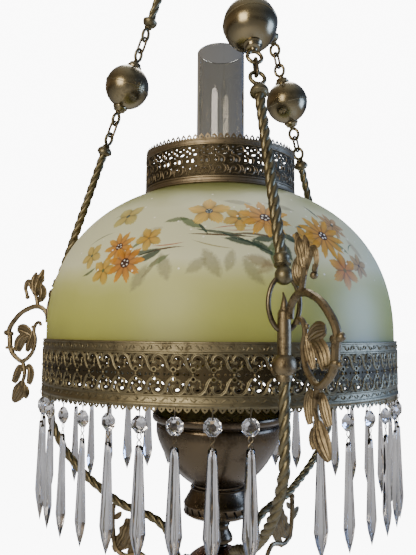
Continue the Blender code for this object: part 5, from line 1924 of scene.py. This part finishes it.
@dataclass
class Crown:
    """The pierced crown that stands on the shade's mouth."""

    form: DomeForm
    radius: float = 0.082
    height: float = 0.05
    flange_r: float = 0.063
    repeats: int = 35
    teeth: int = 80

    def build(self) -> None:
        """Build the strips, the relief row, the pierced row and the teeth."""
        low = self.form.height(self.radius) + 0.0003
        seat = self.form.height(self.form.mouth_r) + 0.0006
        r, i = self.radius - 0.0003, self.radius - 0.0011
        body = [*offset(r, low, (0, 7.6), (0.5, 7), (0.5, 6), (-0.2, 5.4), (-0.2, 3), (0.6, 2.2), (0.8, 0.8),
            (0, 0)), (i, low + 0.0012), (i, seat), (self.flange_r, seat), (self.flange_r, seat + 0.0008),
            (i, seat + 0.0008), (i, low + 0.0076), (r, low + 0.0076)]
        top = [(i, low + 0.0382), *offset(r, low, (0, 38.2), (0.5, 38.7), (0.5, 39.6), (-0.1, 40.2), (-0.1, 43),
            (0.3, 43.5), (0.3, 44.2), (0, 44.6)), (i, low + 0.0446), (i, low + 0.0382)]
        pieces = [turned("crown_low", body, 132), turned("crown_top", top, 132)]
        ground = self.sheet(low)
        # the sheet's dark brass is painted shade: the shade in the recesses behind the scrolls
        fitted(ground, Body.SHADE, RECESS_SHADE_BRASS.material(), Slot.ANTIQUE, "shade_crown", angle=35)
        pieces.append(self.scrolls(low))
        wide = math.tau * self.radius / self.teeth * 1.04
        unit = tooth("tooth", wide, 0.006, 0.00105, 0.0009)
        pieces.append(ring_of("crown_teeth", [unit], self.teeth, self.radius - 0.0008, low + 0.0438))
        crown = joined("shade_crown_pierced", pieces)
        fitted(crown, Body.SHADE, CROWN_BRASS.material(), Slot.ANTIQUE, "shade_crown", angle=35)

    def sheet(self, low: float) -> Obj:
        """Sheet pierced with beans, drops and ovals, solid below.

        Args:
            low: height of the crown's foot.

        Returns:
            The sheet.
        """
        holes = [Hole(0, 22.6, 1.6, 2.4), Hole(-5.3, 22.7, 1.5, 1.25, 0, 6), Hole(3.4, 29.0, 2.9, 0.95, 10),
            Hole(-2.8, 30.2, 1.0, 1.1), Hole(1.0, 33.3, 1.4, 0.85), Hole(-5.7, 32.6, 1.2, 0.9),
            Hole(-3.3, 35.8, 1.3, 0.95, 0, 6), Hole(4.8, 34.8, 0.8, 0.8, 0, 6), Hole(-5.9, 27.0, 0.7, 0.9, 0, 6),
            Hole(3.9, 17.4, 0.8, 0.8, 0, 6), Hole(-2.6, 15.0, 0.7, 0.7, 0, 6)]
        pitch = math.tau * self.radius / self.repeats / MM
        unit = pierced_sheet("sheet", 0.15, pitch, 7.2, 38.5, holes, 0.7)
        sheet = ring_of("crown_pierced_sheet", [unit], self.repeats, self.radius - 0.0009, low)
        with editing(sheet):
            bpy.ops.mesh.remove_doubles(threshold=1e-5)
        return sheet

    def scrolls(self, low: float) -> Obj:
        """Raised scrolls over the sheet.

        Args:
            low: height of the crown's foot.

        Returns:
            The scrolls.
        """
        lines = (((-6.4, 9.6), (-5.6, 13.6), (-3.0, 16.4), (-0.4, 15.2), (-0.6, 12.8), (-2.4, 12.6)),
            ((-4.0, 9.4), (-1.4, 10.2), (1.2, 9.6), (3.2, 11.0), (4.4, 14.0), (3.0, 17.4), (0.4, 18.6)),
            ((5.2, 17.6), (7.0, 15.2), (6.6, 12.2), (5.2, 11.6)), ((-7.4, 19.6), (-5.0, 19.8), (-2.6, 21.0),
            (-2.4, 24.4), (-4.4, 26.4), (-7.2, 25.6)), ((2.6, 20.6), (3.4, 24.0), (1.4, 26.6), (-1.2, 27.8),
            (-4.0, 28.6), (-4.6, 31.0), (-2.6, 32.8)), ((0.2, 31.0), (3.0, 31.4), (6.2, 30.8), (7.4, 32.8),
            (5.8, 36.8), (2.6, 36.8), (0.0, 35.6)))
        pieces = [Band(line, 0.85, 1.8, 0.6).build(f"scroll_{k}") for k, line in enumerate(lines)]
        return ring_of("crown_scrolls", pieces, self.repeats, self.radius - 0.0006, low)


# ---- glass, font and burner -------------------------------------------------------------------------------
@dataclass
class Dome:
    """The painted glass shade."""

    form: DomeForm
    foot: float = -0.0062

    def build(self) -> None:
        """Blow the dome: outer and inner faces with a rolled foot and a ground mouth."""
        form = self.form
        last = math.acos(form.mouth_r / form.radius)
        outer, inner = [], []
        for k in range(49):
            a = last * (1 - k / 48)
            r = form.radius * math.cos(a)
            slope = math.atan2(math.sin(a), math.cos(a) + 1e-6)
            z = form.height(r)
            outer.append((r, z))
            inner.append((r - form.wall * math.cos(slope), z - form.wall * math.sin(slope)))
        low, wall = self.foot, form.wall
        outline = [*outer, (form.radius, low + 0.0008), (form.radius - 0.0008, low),
            (form.radius - wall + 0.0008, low), (form.radius - wall, low + 0.0008), *inner[::-1]]
        dome = turned("glass_shade_blown", [*outline, outline[0]], 128)
        fitted(dome, Body.SHADE, PaintedShade(form).material(), Slot.SHADE, "glass_shade", angle=35)


@dataclass
class Chimney:
    """Straight blown chimney with fire-polished rims."""

    radius: float = 0.0265
    wall: float = 0.002
    top: float = 0.322
    low: float = -0.0307

    def build(self) -> None:
        """Draw the tube."""
        r, i, t, b = self.radius, self.radius - self.wall, self.top, self.low
        outline = [*offset(r, t, (-0.6, 0), (0, -0.7), (0, -20)), *offset(r, 0, (0, 220), (0, 120), (0, 30)),
            (r, b + 0.0008), (r - 0.0006, b), (i + 0.0006, b), (i, b + 0.0008),
            *offset(i, 0, (0, 30), (0, 120), (0, 220)), *offset(i, t, (0, -20), (0, -0.7), (0.6, 0)),
            (r - 0.0006, t)]
        chimney = turned("chimney_blown", outline, 72)
        fitted(chimney, Body.CHIMNEY, CHIMNEY_GLASS.material(), Slot.CLEAR, "chimney")


@dataclass
class Font:
    """Spun oil font with its draft tube, and its filler cap."""

    lip_r: float = 0.0705
    lip: float = -0.077
    foot_r: float = 0.027
    foot: float = -0.157
    collar_r: float = 0.029
    collar_top: float = -0.044
    draft_r: float = 0.011
    draft_top: float = -0.013
    wall: float = 0.0012
    filler_r: float = 0.0085
    filler_deg: float = 60.0

    def build(self) -> None:
        """Build the bowl, its filler neck and the cap."""
        self.bowl()
        self.cap()

    def filler_place(self) -> Matrix:
        """Place of the filler on the font's shoulder."""
        turn = spun(math.radians(self.filler_deg), "Z")
        return HUNG @ turn @ slid(self.lip_r * 0.71, 0, 0)

    def bowl(self) -> None:
        """The font's shell."""
        l, lip, w, c = self.lip_r, self.lip, self.wall, self.collar_r
        outside = [(c, self.collar_top), (c, self.collar_top - 0.008), (c + 0.0016, lip + 0.0236),
            (l * 0.54, lip + 0.0212), (l * 0.62, lip + 0.02), (l * 0.72, lip + 0.0164), (l * 0.84, lip + 0.011),
            (l * 0.91, lip + 0.0062), *offset(l, lip, (-3, 1.6), (-0.8, 0.4), (0, -1), (0.2, -3), (0, -5.6),
            (-1.2, -7.4), (-4.5, -9), (-5.2, -10.4), (-4, -12), (-4, -15), (-4.2, -20), (-6, -27)),
            (l * 0.875, lip - 0.034), (l * 0.815, lip - 0.0425), (l * 0.74, lip - 0.051), (l * 0.65, lip - 0.059),
            (l * 0.55, lip - 0.066), (l * 0.455, lip - 0.0712), *offset(self.foot_r, self.foot, (0.4, 6.2), (0, 4),
            (0, 0))]
        inside = [(self.draft_r, self.foot), (self.draft_r, self.draft_top), (self.draft_r + 0.001, self.draft_top),
            (self.draft_r + 0.001, self.foot + w), (self.foot_r - w, self.foot + w + 0.006),
            (l * 0.55 - w, lip - 0.066 + w), (l * 0.74 - w, lip - 0.05), (l * 0.88 - w, lip - 0.034 + w / 2),
            (l - 0.0045 - w, lip - 0.02), (l - 0.0045 - w, lip - 0.01), (l * 0.8, lip + 0.0105),
            (l * 0.6, lip + 0.0185), (c - w, self.collar_top - 0.0085), (c - w, self.collar_top)]
        shell = turned("font_shell", [*outside, *inside, outside[0]], 88)
        neck_r = self.filler_r - 0.002
        low, high = self.lip + 0.01, self.lip + 0.022
        neck = [(0, low), *offset(neck_r, low, (0, 0), (0, 5), (1, 6), (0, 7)),
            *offset(neck_r, high, (0, 0), (-0.8, 0), (-1, -0.8)), (0, high - 0.0008)]
        pieces = [shell, turned("neck", neck, 28, self.filler_place())]
        font = joined("font_spun", pieces)
        fitted(font, Body.FONT, FONT_BRASS.material(), Slot.BRIGHT, "font")

    def cap(self) -> None:
        """Knurled filler cap."""
        low, r = self.lip + 0.0223, self.filler_r
        outline = [*offset(0, low, (0, 8), (1.8, 7.8), (3.1, 6.8), (3.4, 5.6), (2.8, 4.6), (4, 3.8)),
            *offset(r, low, (-1, 3.3), (-0.1, 2.6), (-0.1, 0.6), (-1, 0)), (0, low)]
        cap = turned("cap", outline, 24, self.filler_place())
        grip = rod("grip", 0.0006, low + 0.0004, low + 0.0028, 6)
        grips = repeated("grips", grip, [self.filler_place() @ spun(math.tau * k / 20, "Z") @ slid(r - 0.0003, 0, 0)
            for k in range(20)])
        whole = joined("filler_cap_knurled", [cap, grips])
        fitted(whole, Body.CAP, BURNER_BRASS.material(), Slot.BRIGHT, "filler_cap")


@dataclass
class Burner:
    """Round-wick burner: cup with its fingers, wick, wick knob and flame spreader."""

    font: Font
    chimney: Chimney
    top: float = -0.012
    sheet: float = 0.0008
    wick_wall: float = 0.0018
    wick_length: float = 0.086
    knob_r: float = 0.0085
    knob_reach: float = 0.058
    knob_deg: float = -150.0
    fingers: int = 16

    def build(self) -> None:
        """Build and mount every part."""
        self.cup()
        self.knob()
        self.wick()
        self.spreader()

    @property
    def seat(self) -> float:
        """Height of the cup's floor."""
        return self.top - 0.019

    @property
    def wick_r(self) -> float:
        """Outer radius of the wick."""
        return self.font.draft_r + 0.001 + 0.0003 + self.wick_wall

    def cup(self) -> None:
        """Cup on the font's collar, with spring fingers round the chimney."""
        cup = self.chimney.radius + 0.0003
        skirt = self.font.collar_r + 0.0003
        collar, tube = self.font.collar_top, self.wick_r + 0.0013
        outline = [(cup + self.sheet, self.top - 0.006), (cup + self.sheet, self.seat + 0.004),
            (cup + 0.0016, self.seat + 0.003), (cup + 0.0018, self.seat + 0.002),
            *offset(skirt, self.seat, (1, -1), (1.6, -2.6), (1.2, -4)), *offset(skirt, collar, (1.2, 2), (1.8, 1.2),
            (1.8, -3.2), (1.2, -4), (0, -4), (0, 0.3)), (tube - 0.001, collar + 0.0003),
            (tube - 0.001, self.top - 0.002), (tube, self.top - 0.002), (tube, self.seat), (cup, self.seat),
            (cup, self.top - 0.006), (cup + self.sheet, self.top - 0.006)]
        shell = turned("burner_shell", outline, 64)
        finger = Band(((0, -1), (0, 2.2), (0, 5.6)), 3.6, 2.0, 0.8).build("finger")
        moved(finger, Matrix.Diagonal((1, 1, 0.14, 1)))
        ring = ring_of("fingers", [finger], self.fingers, cup + self.sheet / 2, self.top - 0.006)
        burner = joined("burner_cup", [shell, ring])
        fitted(burner, Body.FONT, BURNER_BRASS.material(), Slot.ANTIQUE, "burner")

    def knob(self) -> None:
        """Milled wick knob on its spindle."""
        reach, r, collar = self.knob_reach, self.knob_r, self.font.collar_r
        height = (self.seat + self.font.collar_top) / 2
        place = spun(math.radians(self.knob_deg), "Z") @ slid(0, 0, height)
        place = HUNG @ place @ spun(math.pi / 2, "Y")
        outline = [(0, reach), (r * 0.4, reach - 0.0002), (r * 0.5, reach - 0.0009), (r * 0.84, reach - 0.0004),
            (r - 0.0004, reach - 0.001), (r - 0.0004, reach - 0.0028), *offset(0, reach, (3.2, -3.5), (2.2, -4.4),
            (1.3, -5)), (0.0013, collar - 0.004), (0, collar - 0.004)]
        disc = turned("knob_disc", outline, 32, place)
        ridge = rod("ridge", 0.00055, reach - 0.003, reach - 0.001, 6)
        ridges = repeated("ridges", ridge, [place @ spun(math.tau * k / 30, "Z") @ slid(r - 0.0006, 0, 0)
            for k in range(30)])
        whole = joined("wick_knob_milled", [disc, ridges])
        fitted(whole, Body.KNOB, BURNER_BRASS.material(), Slot.BRIGHT, "wick_knob")

    def wick(self) -> None:
        """Tube of woven cotton with its top edges bevelled."""
        inner, outer = self.font.draft_r + 0.0013, self.wick_r
        top = self.top - 0.0005
        low = top - self.wick_length
        outline = [(outer, top - 0.0008), (outer, top - 0.02), (outer, low + 0.02), (outer, low), (inner, low),
            (inner, low + 0.02), *offset(inner, top, (0, -20), (0, -0.8), (0.6, 0)), (outer - 0.0006, top),
            (outer, top - 0.0008)]
        wick = turned("wick_woven", outline, 48)
        fitted(wick, Body.WICK, Cotton().material(), Slot.COTTON, "wick")

    def spreader(self) -> None:
        """Thimble with its button over the draft tube."""
        stem, low = self.font.draft_r - 0.0003, self.font.draft_top + 0.0003
        r = self.wick_r
        outline = [(0, low + 0.0092), (r * 0.35, low + 0.009), (r * 0.7, low + 0.0081), (r * 0.92, low + 0.007),
            (r, low + 0.0061), (r - 0.0004, low + 0.0055), *offset(stem, low, (0.6, 4.4), (0, 3.6), (0, -11),
            (-0.8, -12)), (0, low - 0.012)]
        spreader = turned("flame_spreader_spun", outline, 48)
        fitted(spreader, Body.FONT, BURNER_BRASS.material(), Slot.BRIGHT, "flame_spreader")


# ---- hub --------------------------------------------------------------------------------------------------
@dataclass
class Hub:
    """Font holder with its draught slots, vase stem, hub ball, tie rod and finial."""

    font: Font
    band_top: float = -0.169
    band_low: float = -0.18
    tie_r: float = 0.0032
    bulb_r: float = 0.0155
    finial_length: float = 0.05
    slots: int = 24

    def build(self) -> None:
        """Build and mount every part."""
        self.holder()
        self.stem()
        self.ball()
        self.finial()

    @property
    def stem_top(self) -> float:
        """Height of the stem's top."""
        return self.band_low - 0.004

    @property
    def pole(self) -> float:
        """Distance from the hub's centre to what sits on its ends."""
        return math.sqrt(HUB_R**2 - self.tie_r**2) + 0.0003

    def holder(self) -> None:
        """Spun cup with slanted draught slots cut through its shoulder."""
        foot, seat = self.font.foot_r, self.font.foot - 0.0003
        r, low, wall = foot + 0.009, self.stem_top + 0.0003, 0.0015
        bore, rim = self.tie_r + 0.0003, foot + 0.0003
        outline = [*offset(rim + wall, seat, (0, 4), (0.8, 3.4), (0.8, 2.4), (0, 1.6), (1, -1)),
            *offset(r, self.band_top, (-1, 1.4), (0, 0), (0.6, -1.6), (0, -3)),
            *offset(r, self.band_low, (0, 3), (0.6, 1.6), (0, 0), (-4, -2.4)), (r - 0.008, low), (bore, low),
            (bore, low + wall), (r - 0.01, low + wall), (r - wall, self.band_low + 0.0012),
            (r - wall, self.band_top - 0.001), (foot - 0.002, seat - 0.0012), (foot - 0.002, seat), (rim, seat),
            (rim, seat + 0.004), (rim + wall, seat + 0.004)]
        cup = turned("holder_cup", outline, 72)
        cutters = []
        for k in range(self.slots):
            pick()
            bpy.ops.mesh.primitive_cube_add(size=1, location=(0, 0, 0), scale=(0.009, 0.0021, 0.0062))
            cutter = settled("slot_cutter")
            lean = spun(math.radians(28), "X")
            turn = spun(math.tau * k / self.slots, "Z")
            spot = slid(r, 0, (self.band_top + self.band_low) / 2)
            cutters.append(moved(cutter, HUNG @ turn @ spot @ lean))
        cutter = joined("slot_cutters", cutters)
        modified(cup, "BOOLEAN", object=cutter, operation="DIFFERENCE", solver="EXACT")
        bpy.data.objects.remove(cutter, do_unlink=True)
        cup.name = "font_holder_slotted"
        fitted(cup, Body.FRAME, FONT_BRASS.material(), Slot.ANTIQUE, "font_holder", angle=35)

    def stem(self) -> None:
        """Turned vase between the holder and the hub."""
        top, low = self.stem_top, HUB_CENTRE + self.pole
        tall, bore, bulb = top - low, self.tie_r + 0.0003, self.bulb_r
        shares = ((0.0225, 1.0), (0.0218, 0.955), (0.017, 0.9), (0.0136, 0.83), (0.012, 0.77), (0.0126, 0.735),
            (0.0126, 0.705), (0.0116, 0.675), (0.0113, 0.6), (0.0122, 0.5), (0.014, 0.4), (bulb, 0.3),
            (bulb + 0.0002, 0.23), (bulb, 0.16), (0.0132, 0.115), (0.0085, 0.09), (0.009, 0.06), (0.0105, 0.04),
            (0.0108, 0.02), (0.0105, 0.0))
        outline = [(r, low + share * tall) for r, share in shares]
        outline += [(bore, low), (bore, top), outline[0]]
        fitted(turned("vase_stem_turned", outline, 48), Body.FRAME, FONT_BRASS.material(), Slot.ANTIQUE,
            "vase_stem")

    def ball(self) -> None:
        """Hollow hub ball with its seam and a boss where each arm enters."""
        bore = self.tie_r + 0.0003
        outline = []
        for radius, way in ((HUB_R, 1), (HUB_R - 0.0012, -1)):
            start = math.asin(bore / radius)
            arc = [start + (math.pi - 2 * start) * k / 40 for k in range(41)][::way]
            for a in arc:
                lift = 0.0005 if way > 0 and abs(a - math.pi / 2) < 0.03 else 0.0
                outline.append(((radius + lift) * math.sin(a), HUB_CENTRE + (radius + lift) * math.cos(a)))
        pieces = [turned("hub_shell", [*outline, outline[0]], 88)]
        rise = Arm().meet_height
        lean = math.asin(rise / HUB_R)
        boss = [(0, 0.0), (0.0078, 0.0), (0.0082, 0.0012), (0.0066, 0.0026), (0.007, 0.0036), (0.0056, 0.0048),
            (0, 0.0048)]
        for index in range(ARMS):
            place = arm_place(index) @ slid(0, 0, HUB_CENTRE) @ spun(math.pi / 2 - lean, "Y")
            pieces.append(turned("hub_boss", [(r, HUB_R - 0.0006 + z) for r, z in boss], 28, place))
        hub = joined("hub_ball_spun", pieces)
        fitted(hub, Body.FRAME, HUB_BRASS.material(), Slot.DARK, "hub_ball")

    def finial(self) -> None:
        """Turned finial nut under the hub, and the tie rod through it all."""
        bore, top = self.tie_r + 0.0003, HUB_CENTRE - self.pole
        tie_low = HUB_CENTRE - HUB_R - 0.016
        length = self.finial_length
        outline = [(0, tie_low - 0.0003), (bore, tie_low - 0.0003), (bore, top),
            *offset(0, top, (11, 0), (12.2, -0.8), (13, -2.8), (12.4, -4.6), (10, -6.4), (8.8, -8.4), (9.2, -11),
            (10.8, -15), (13, -19), (14, -22.2), (13.4, -25.6), (11.2, -30.4), (7.8, -34.4), (4.4, -37.6),
            (3.8, -39), (4.8, -40.4), (5.2, -42.4), (4.6, -44.4), (3.4, -46.6)), (0.0022, top - length + 0.0004),
            (0, top - length - 0.0008)]
        finial = turned("bottom_finial_turned", outline, 44)
        fitted(finial, Body.FRAME, CAST_BRASS.material(), Slot.ANTIQUE, "bottom_finial")
        rod_top = self.stem_top + 0.012
        tie = rod("tie_bar", self.tie_r, tie_low, rod_top - 0.0045, 24)
        nut = rod("tie_nut", self.tie_r * 2, rod_top - 0.005, rod_top, 6)
        whole = moved(joined("tie_rod_turned", [tie, nut]), HUNG)
        fitted(whole, Body.FRAME, WIRE_BRASS.material(), Slot.DARK, "tie_rod")


# ---- cut glass drops --------------------------------------------------------------------------------------
@dataclass
class Drops:
    """Cut glass drops on wire pins, each an eight-sided bead over a long spear."""

    ring_r: float = GALLERY_R - 0.0006
    hang: float = -0.053
    pitches: int = 39
    phase_deg: float = 3.2
    bead_r: float = 0.0077
    bead_below: float = 0.012
    spear_top: float = 0.028
    spear_length: float = 0.088
    spear_half: float = 0.0072

    def glass(self) -> Obj:
        """Bead and spear of one drop: X out, Y round, Z up from the gallery's edge."""
        b = self.bead_r
        bead = turned("bead", [(0, 0.0037), (b * 0.44, 0.0036), (b * 0.83, 0.0016), (b, 0), (b * 0.83, -0.0016),
            (b * 0.44, -0.0036), (0, -0.0037)], 8, Matrix())
        moved(bead, spun(math.pi / 2, "Y") @ spun(math.pi / 8, "Z"))
        moved(bead, slid(0, 0, -self.bead_below))
        w, top, length = self.spear_half, -self.spear_top, self.spear_length
        stations = ((0.0, 0.0022), (0.012, 0.0034), (0.1, 0.004), (0.45, 0.0056), (0.76, w), (0.86, w * 0.72),
            (0.94, w * 0.34), (1.0, 0.0002))
        section = ((1, 0), (0.5, 0.42), (0, 0.52), (-0.5, 0.42), (-1, 0), (-0.5, -0.42), (0, -0.52), (0.5, -0.42))
        run = [(0, top - share * length, 0) for share, _ in stations]
        spear = swept("spear", run, section, [half for _, half in stations])
        moved(spear, Matrix(((0, 0, 1, 0), (1, 0, 0, 0), (0, 1, 0, 0), (0, 0, 0, 1))))
        return joined("glass_pattern", [bead, spear])

    def pins(self) -> Obj:
        """Wire pins of one drop: hook, eye and the twisted link between bead and spear."""
        high = -self.bead_below + self.bead_r
        low = -self.bead_below - self.bead_r
        hook = smooth_run([(0.0012, 0, 0.0024), (0.0015, 0, 0.0004), (0.0003, 0, -0.0022), (0, 0, high + 0.0002),
            (0, 0, high - 0.003)], 0.0009)
        back = smooth_run([(0.0012, 0, 0.0024), (-0.0004, 0, 0.003), (-0.0014, 0, 0.0014), (-0.0006, 0, -0.0012),
            (0.0001, 0, -0.0026)], 0.0009)
        gap = low + self.spear_top
        bow = [(0, 0, low + 0.0026), (0, 0.0014, low - 0.0004), (0, 0.002, low - gap * 0.22),
            (0, 0.0004, low - gap * 0.5), (0, -0.0018, low - gap * 0.78), (0, -0.0012, -self.spear_top - 0.0006),
            (0, 0, -self.spear_top - 0.0026), (0, 0.0012, -self.spear_top - 0.0006), (0, 0.0018, low - gap * 0.78),
            (0, -0.0004, low - gap * 0.5), (0, -0.002, low - gap * 0.22), (0, -0.0014, low - 0.0004)]
        pieces = [wire("hook", hook, 0.00042, sides=6), wire("hook_back", back, 0.00042, sides=6),
            wire("bow", smooth_run(bow, 0.0013, True), 0.00045, closed=True, sides=6)]
        return joined("pins_pattern", pieces)

    def place(self, arm: int, place: int) -> Matrix:
        """Place of one drop.

        Args:
            arm: the arm before it.
            place: 1 to 12, counted from that arm.

        Returns:
            Its matrix.
        """
        angle = math.radians(FRONT_ARM_DEG + arm * 360 / ARMS + self.phase_deg + place * 360 / self.pitches)
        lower = HUNG @ slid(0, 0, self.hang)
        return lower @ spun(angle, "Z") @ slid(self.ring_r, 0, 0)

    def build(self) -> None:
        """Hang every drop: one space of single ones, two spaces strung together."""
        glass, pins = self.glass(), self.pins()
        per_space = self.pitches // ARMS - 1
        for k in range(1, per_space + 1):
            spot, body = self.place(ARMS - 1, k), f"drop_{k:02d}"
            piece = twin(glass, f"cut_drop_{k:02d}", spot)
            fitted(piece, body, CRYSTAL.material(), Slot.CLEAR, body, angle=None)
            piece = twin(pins, f"drop_pins_{k:02d}", spot)
            fitted(piece, body, WIRE_BRASS.material(), Slot.DARK, angle=50)
        for arm in range(ARMS - 1):
            spots = [self.place(arm, k) for k in range(1, per_space + 1)]
            row = joined(f"cut_drops_row_{arm + 1}", [twin(glass, "drop", spot) for spot in spots])
            fitted(row, Body.FRAME, CRYSTAL.material(), Slot.CLEAR, f"drop_row_{arm + 1}", angle=None)
            wires = joined(f"drop_pins_row_{arm + 1}", [twin(pins, "pins", spot) for spot in spots])
            fitted(wires, Body.FRAME, WIRE_BRASS.material(), Slot.DARK, angle=50)
        for pattern in (glass, pins):
            bpy.data.objects.remove(pattern, do_unlink=True)


# ---- studio -----------------------------------------------------------------------------------------------
@dataclass
class Studio:
    """Plain pale floor, soft light and the camera."""

    floor_z: float = -1.75
    floor_size: float = 60.0
    camera_at: tuple[float, float, float] = (-0.1558, -0.6342, -0.682)
    heading_deg: float = 77.3
    pitch_deg: float = 5.2
    roll_deg: float = 0.45
    lens_mm: float = 38.9
    white: float = 9.0  # brightness of the plain surround as the camera sees it

    def build(self) -> None:
        """Set up the floor, the lights, the sky and the camera."""
        self.floor()
        self.sky()
        self.light("key", (-1.5, -1.6, -0.1), 1.1, 34.0, "#FFF3E4")
        self.light("window", (1.7, -0.4, -0.5), 0.8, 24.0, "#9DBEFF")
        self.light("back", (0.5, 1.8, 1.9), 1.5, 60.0, "#FFFFFF")
        self.camera()

    def floor(self) -> None:
        """Pale matt floor far below the lamp."""
        pick()
        bpy.ops.mesh.primitive_plane_add(size=self.floor_size, location=(0, 0, self.floor_z))
        floor = settled("studio_floor")
        with editing(floor):
            bpy.ops.mesh.subdivide(number_cuts=3)
        material, tree, shader = new_material("matt_white_floor")
        at = add_node(tree, "TexCoord").outputs["Object"]
        grain = add_node(tree, "TexNoise", {"Vector": at, "Scale": 0.6, "Detail": 2.0})
        colour = add_node(tree, "ValToRGB", {"Fac": grain}, stops=[(0.3, "#F4F4F3"), (0.7, "#F8F8F8")])
        feed(tree, shader, {"Base Color": colour, "Roughness": 0.9, "Emission Color": linear("#FFFFFF")})
        seen = add_node(tree, "LightPath").outputs["Is Camera Ray"]
        glow = add_node(tree, "Math", [seen, self.white], operation="MULTIPLY")
        feed(tree, shader, {"Emission Strength": glow})
        floor.data.materials.append(material)

    def sky(self) -> None:
        """Even pale surround: white behind the lamp, greyer where it lights it."""
        world = bpy.data.worlds.new("studio_sky")
        world.use_nodes = True
        bpy.context.scene.world = world
        tree = world.node_tree
        back = tree.nodes["Background"]
        seen = add_node(tree, "LightPath").outputs["Is Camera Ray"]
        way = add_node(tree, "TexCoord").outputs["Generated"]
        parts = add_node(tree, "SeparateXYZ", [way]).outputs
        side = add_node(tree, "MapRange", {"Value": parts[0], "From Min": -0.8, "From Max": 0.8})
        tint = add_node(tree, "ValToRGB", {"Fac": side}, stops=[(0.0, "#FFE6C8"), (0.45, "#FFFFFF"),
            (0.75, "#E6EEFF"), (1.0, "#A8C4FF")])
        rise = parts[2]
        level = add_node(tree, "MapRange", {"Value": rise, "From Min": -1.0, "From Max": 1.0})
        soft = add_node(tree, "ValToRGB", {"Fac": level}, stops=[(0.0, "#B8B4AE"), (0.36, "#8A8680"),
            (0.46, "#4E4C4A"), (0.54, "#56534F"), (0.62, "#A8A5A2"), (0.8, "#757370"), (1.0, "#D8D8D8")])
        soft = add_node(tree, "VectorMath", [soft, tint], operation="MULTIPLY")
        colour = add_node(tree, "Mix", {"Factor": seen, 6: soft, 7: linear("#FFFFFF")}, data_type="RGBA")
        power = add_node(tree, "Math", [seen, self.white, 1.0], operation="MULTIPLY_ADD")
        feed(tree, back, {"Color": colour, "Strength": power})

    def light(self, name: str, at: Point, size: float, power: float, colour: str) -> None:
        """Add one soft light that faces the lamp.

        Args:
            name: its name.
            at: where it stands.
            size: its side.
            power: watts.
            colour: hex colour.
        """
        lamp = bpy.data.lights.new(name, "AREA")
        lamp.size, lamp.energy, lamp.color = size, power, linear(colour)[:3]
        obj = bpy.data.objects.new(name, lamp)
        bpy.context.scene.collection.objects.link(obj)
        aim = Vector((0, 0, RIM_Z)) - Vector(at)
        obj.location = at
        obj.rotation_euler = aim.to_track_quat("-Z", "Y").to_euler()

    def camera(self) -> None:
        """The camera, a little below the shade's rim and left of the front arm."""
        data = bpy.data.cameras.new("camera")
        data.sensor_fit = "AUTO"
        data.sensor_width = 36.0
        data.lens = self.lens_mm
        data.clip_start = 0.01
        data.clip_end = 200.0
        obj = bpy.data.objects.new("camera", data)
        bpy.context.scene.collection.objects.link(obj)
        turn = (spun(math.radians(self.heading_deg - 90), "Z") @ spun(math.radians(90 + self.pitch_deg), "X")
            @ spun(math.radians(self.roll_deg), "Z"))
        obj.matrix_world = Matrix.Translation(self.camera_at) @ turn
        bpy.context.scene.camera = obj


def main() -> None:
    """Build every part of the lamp in order, then the studio."""
    logging.basicConfig(level=logging.INFO, format="%(name)s: %(message)s")
    form, font, chimney, arm = DomeForm(), Font(), Chimney(), Arm()
    CeilingFitting().build()
    ChainCrown().build()
    Leg().build()
    Bail().build()
    arm.build()
    UpperBracket().build()
    LowerBracket().build(arm)
    Gallery().build()
    Crown(form).build()
    Dome(form).build()
    chimney.build()
    font.build()
    Burner(font, chimney).build()
    Hub(font).build()
    Drops().build()
    Studio().build()


if __name__ == "__main__":
    main()
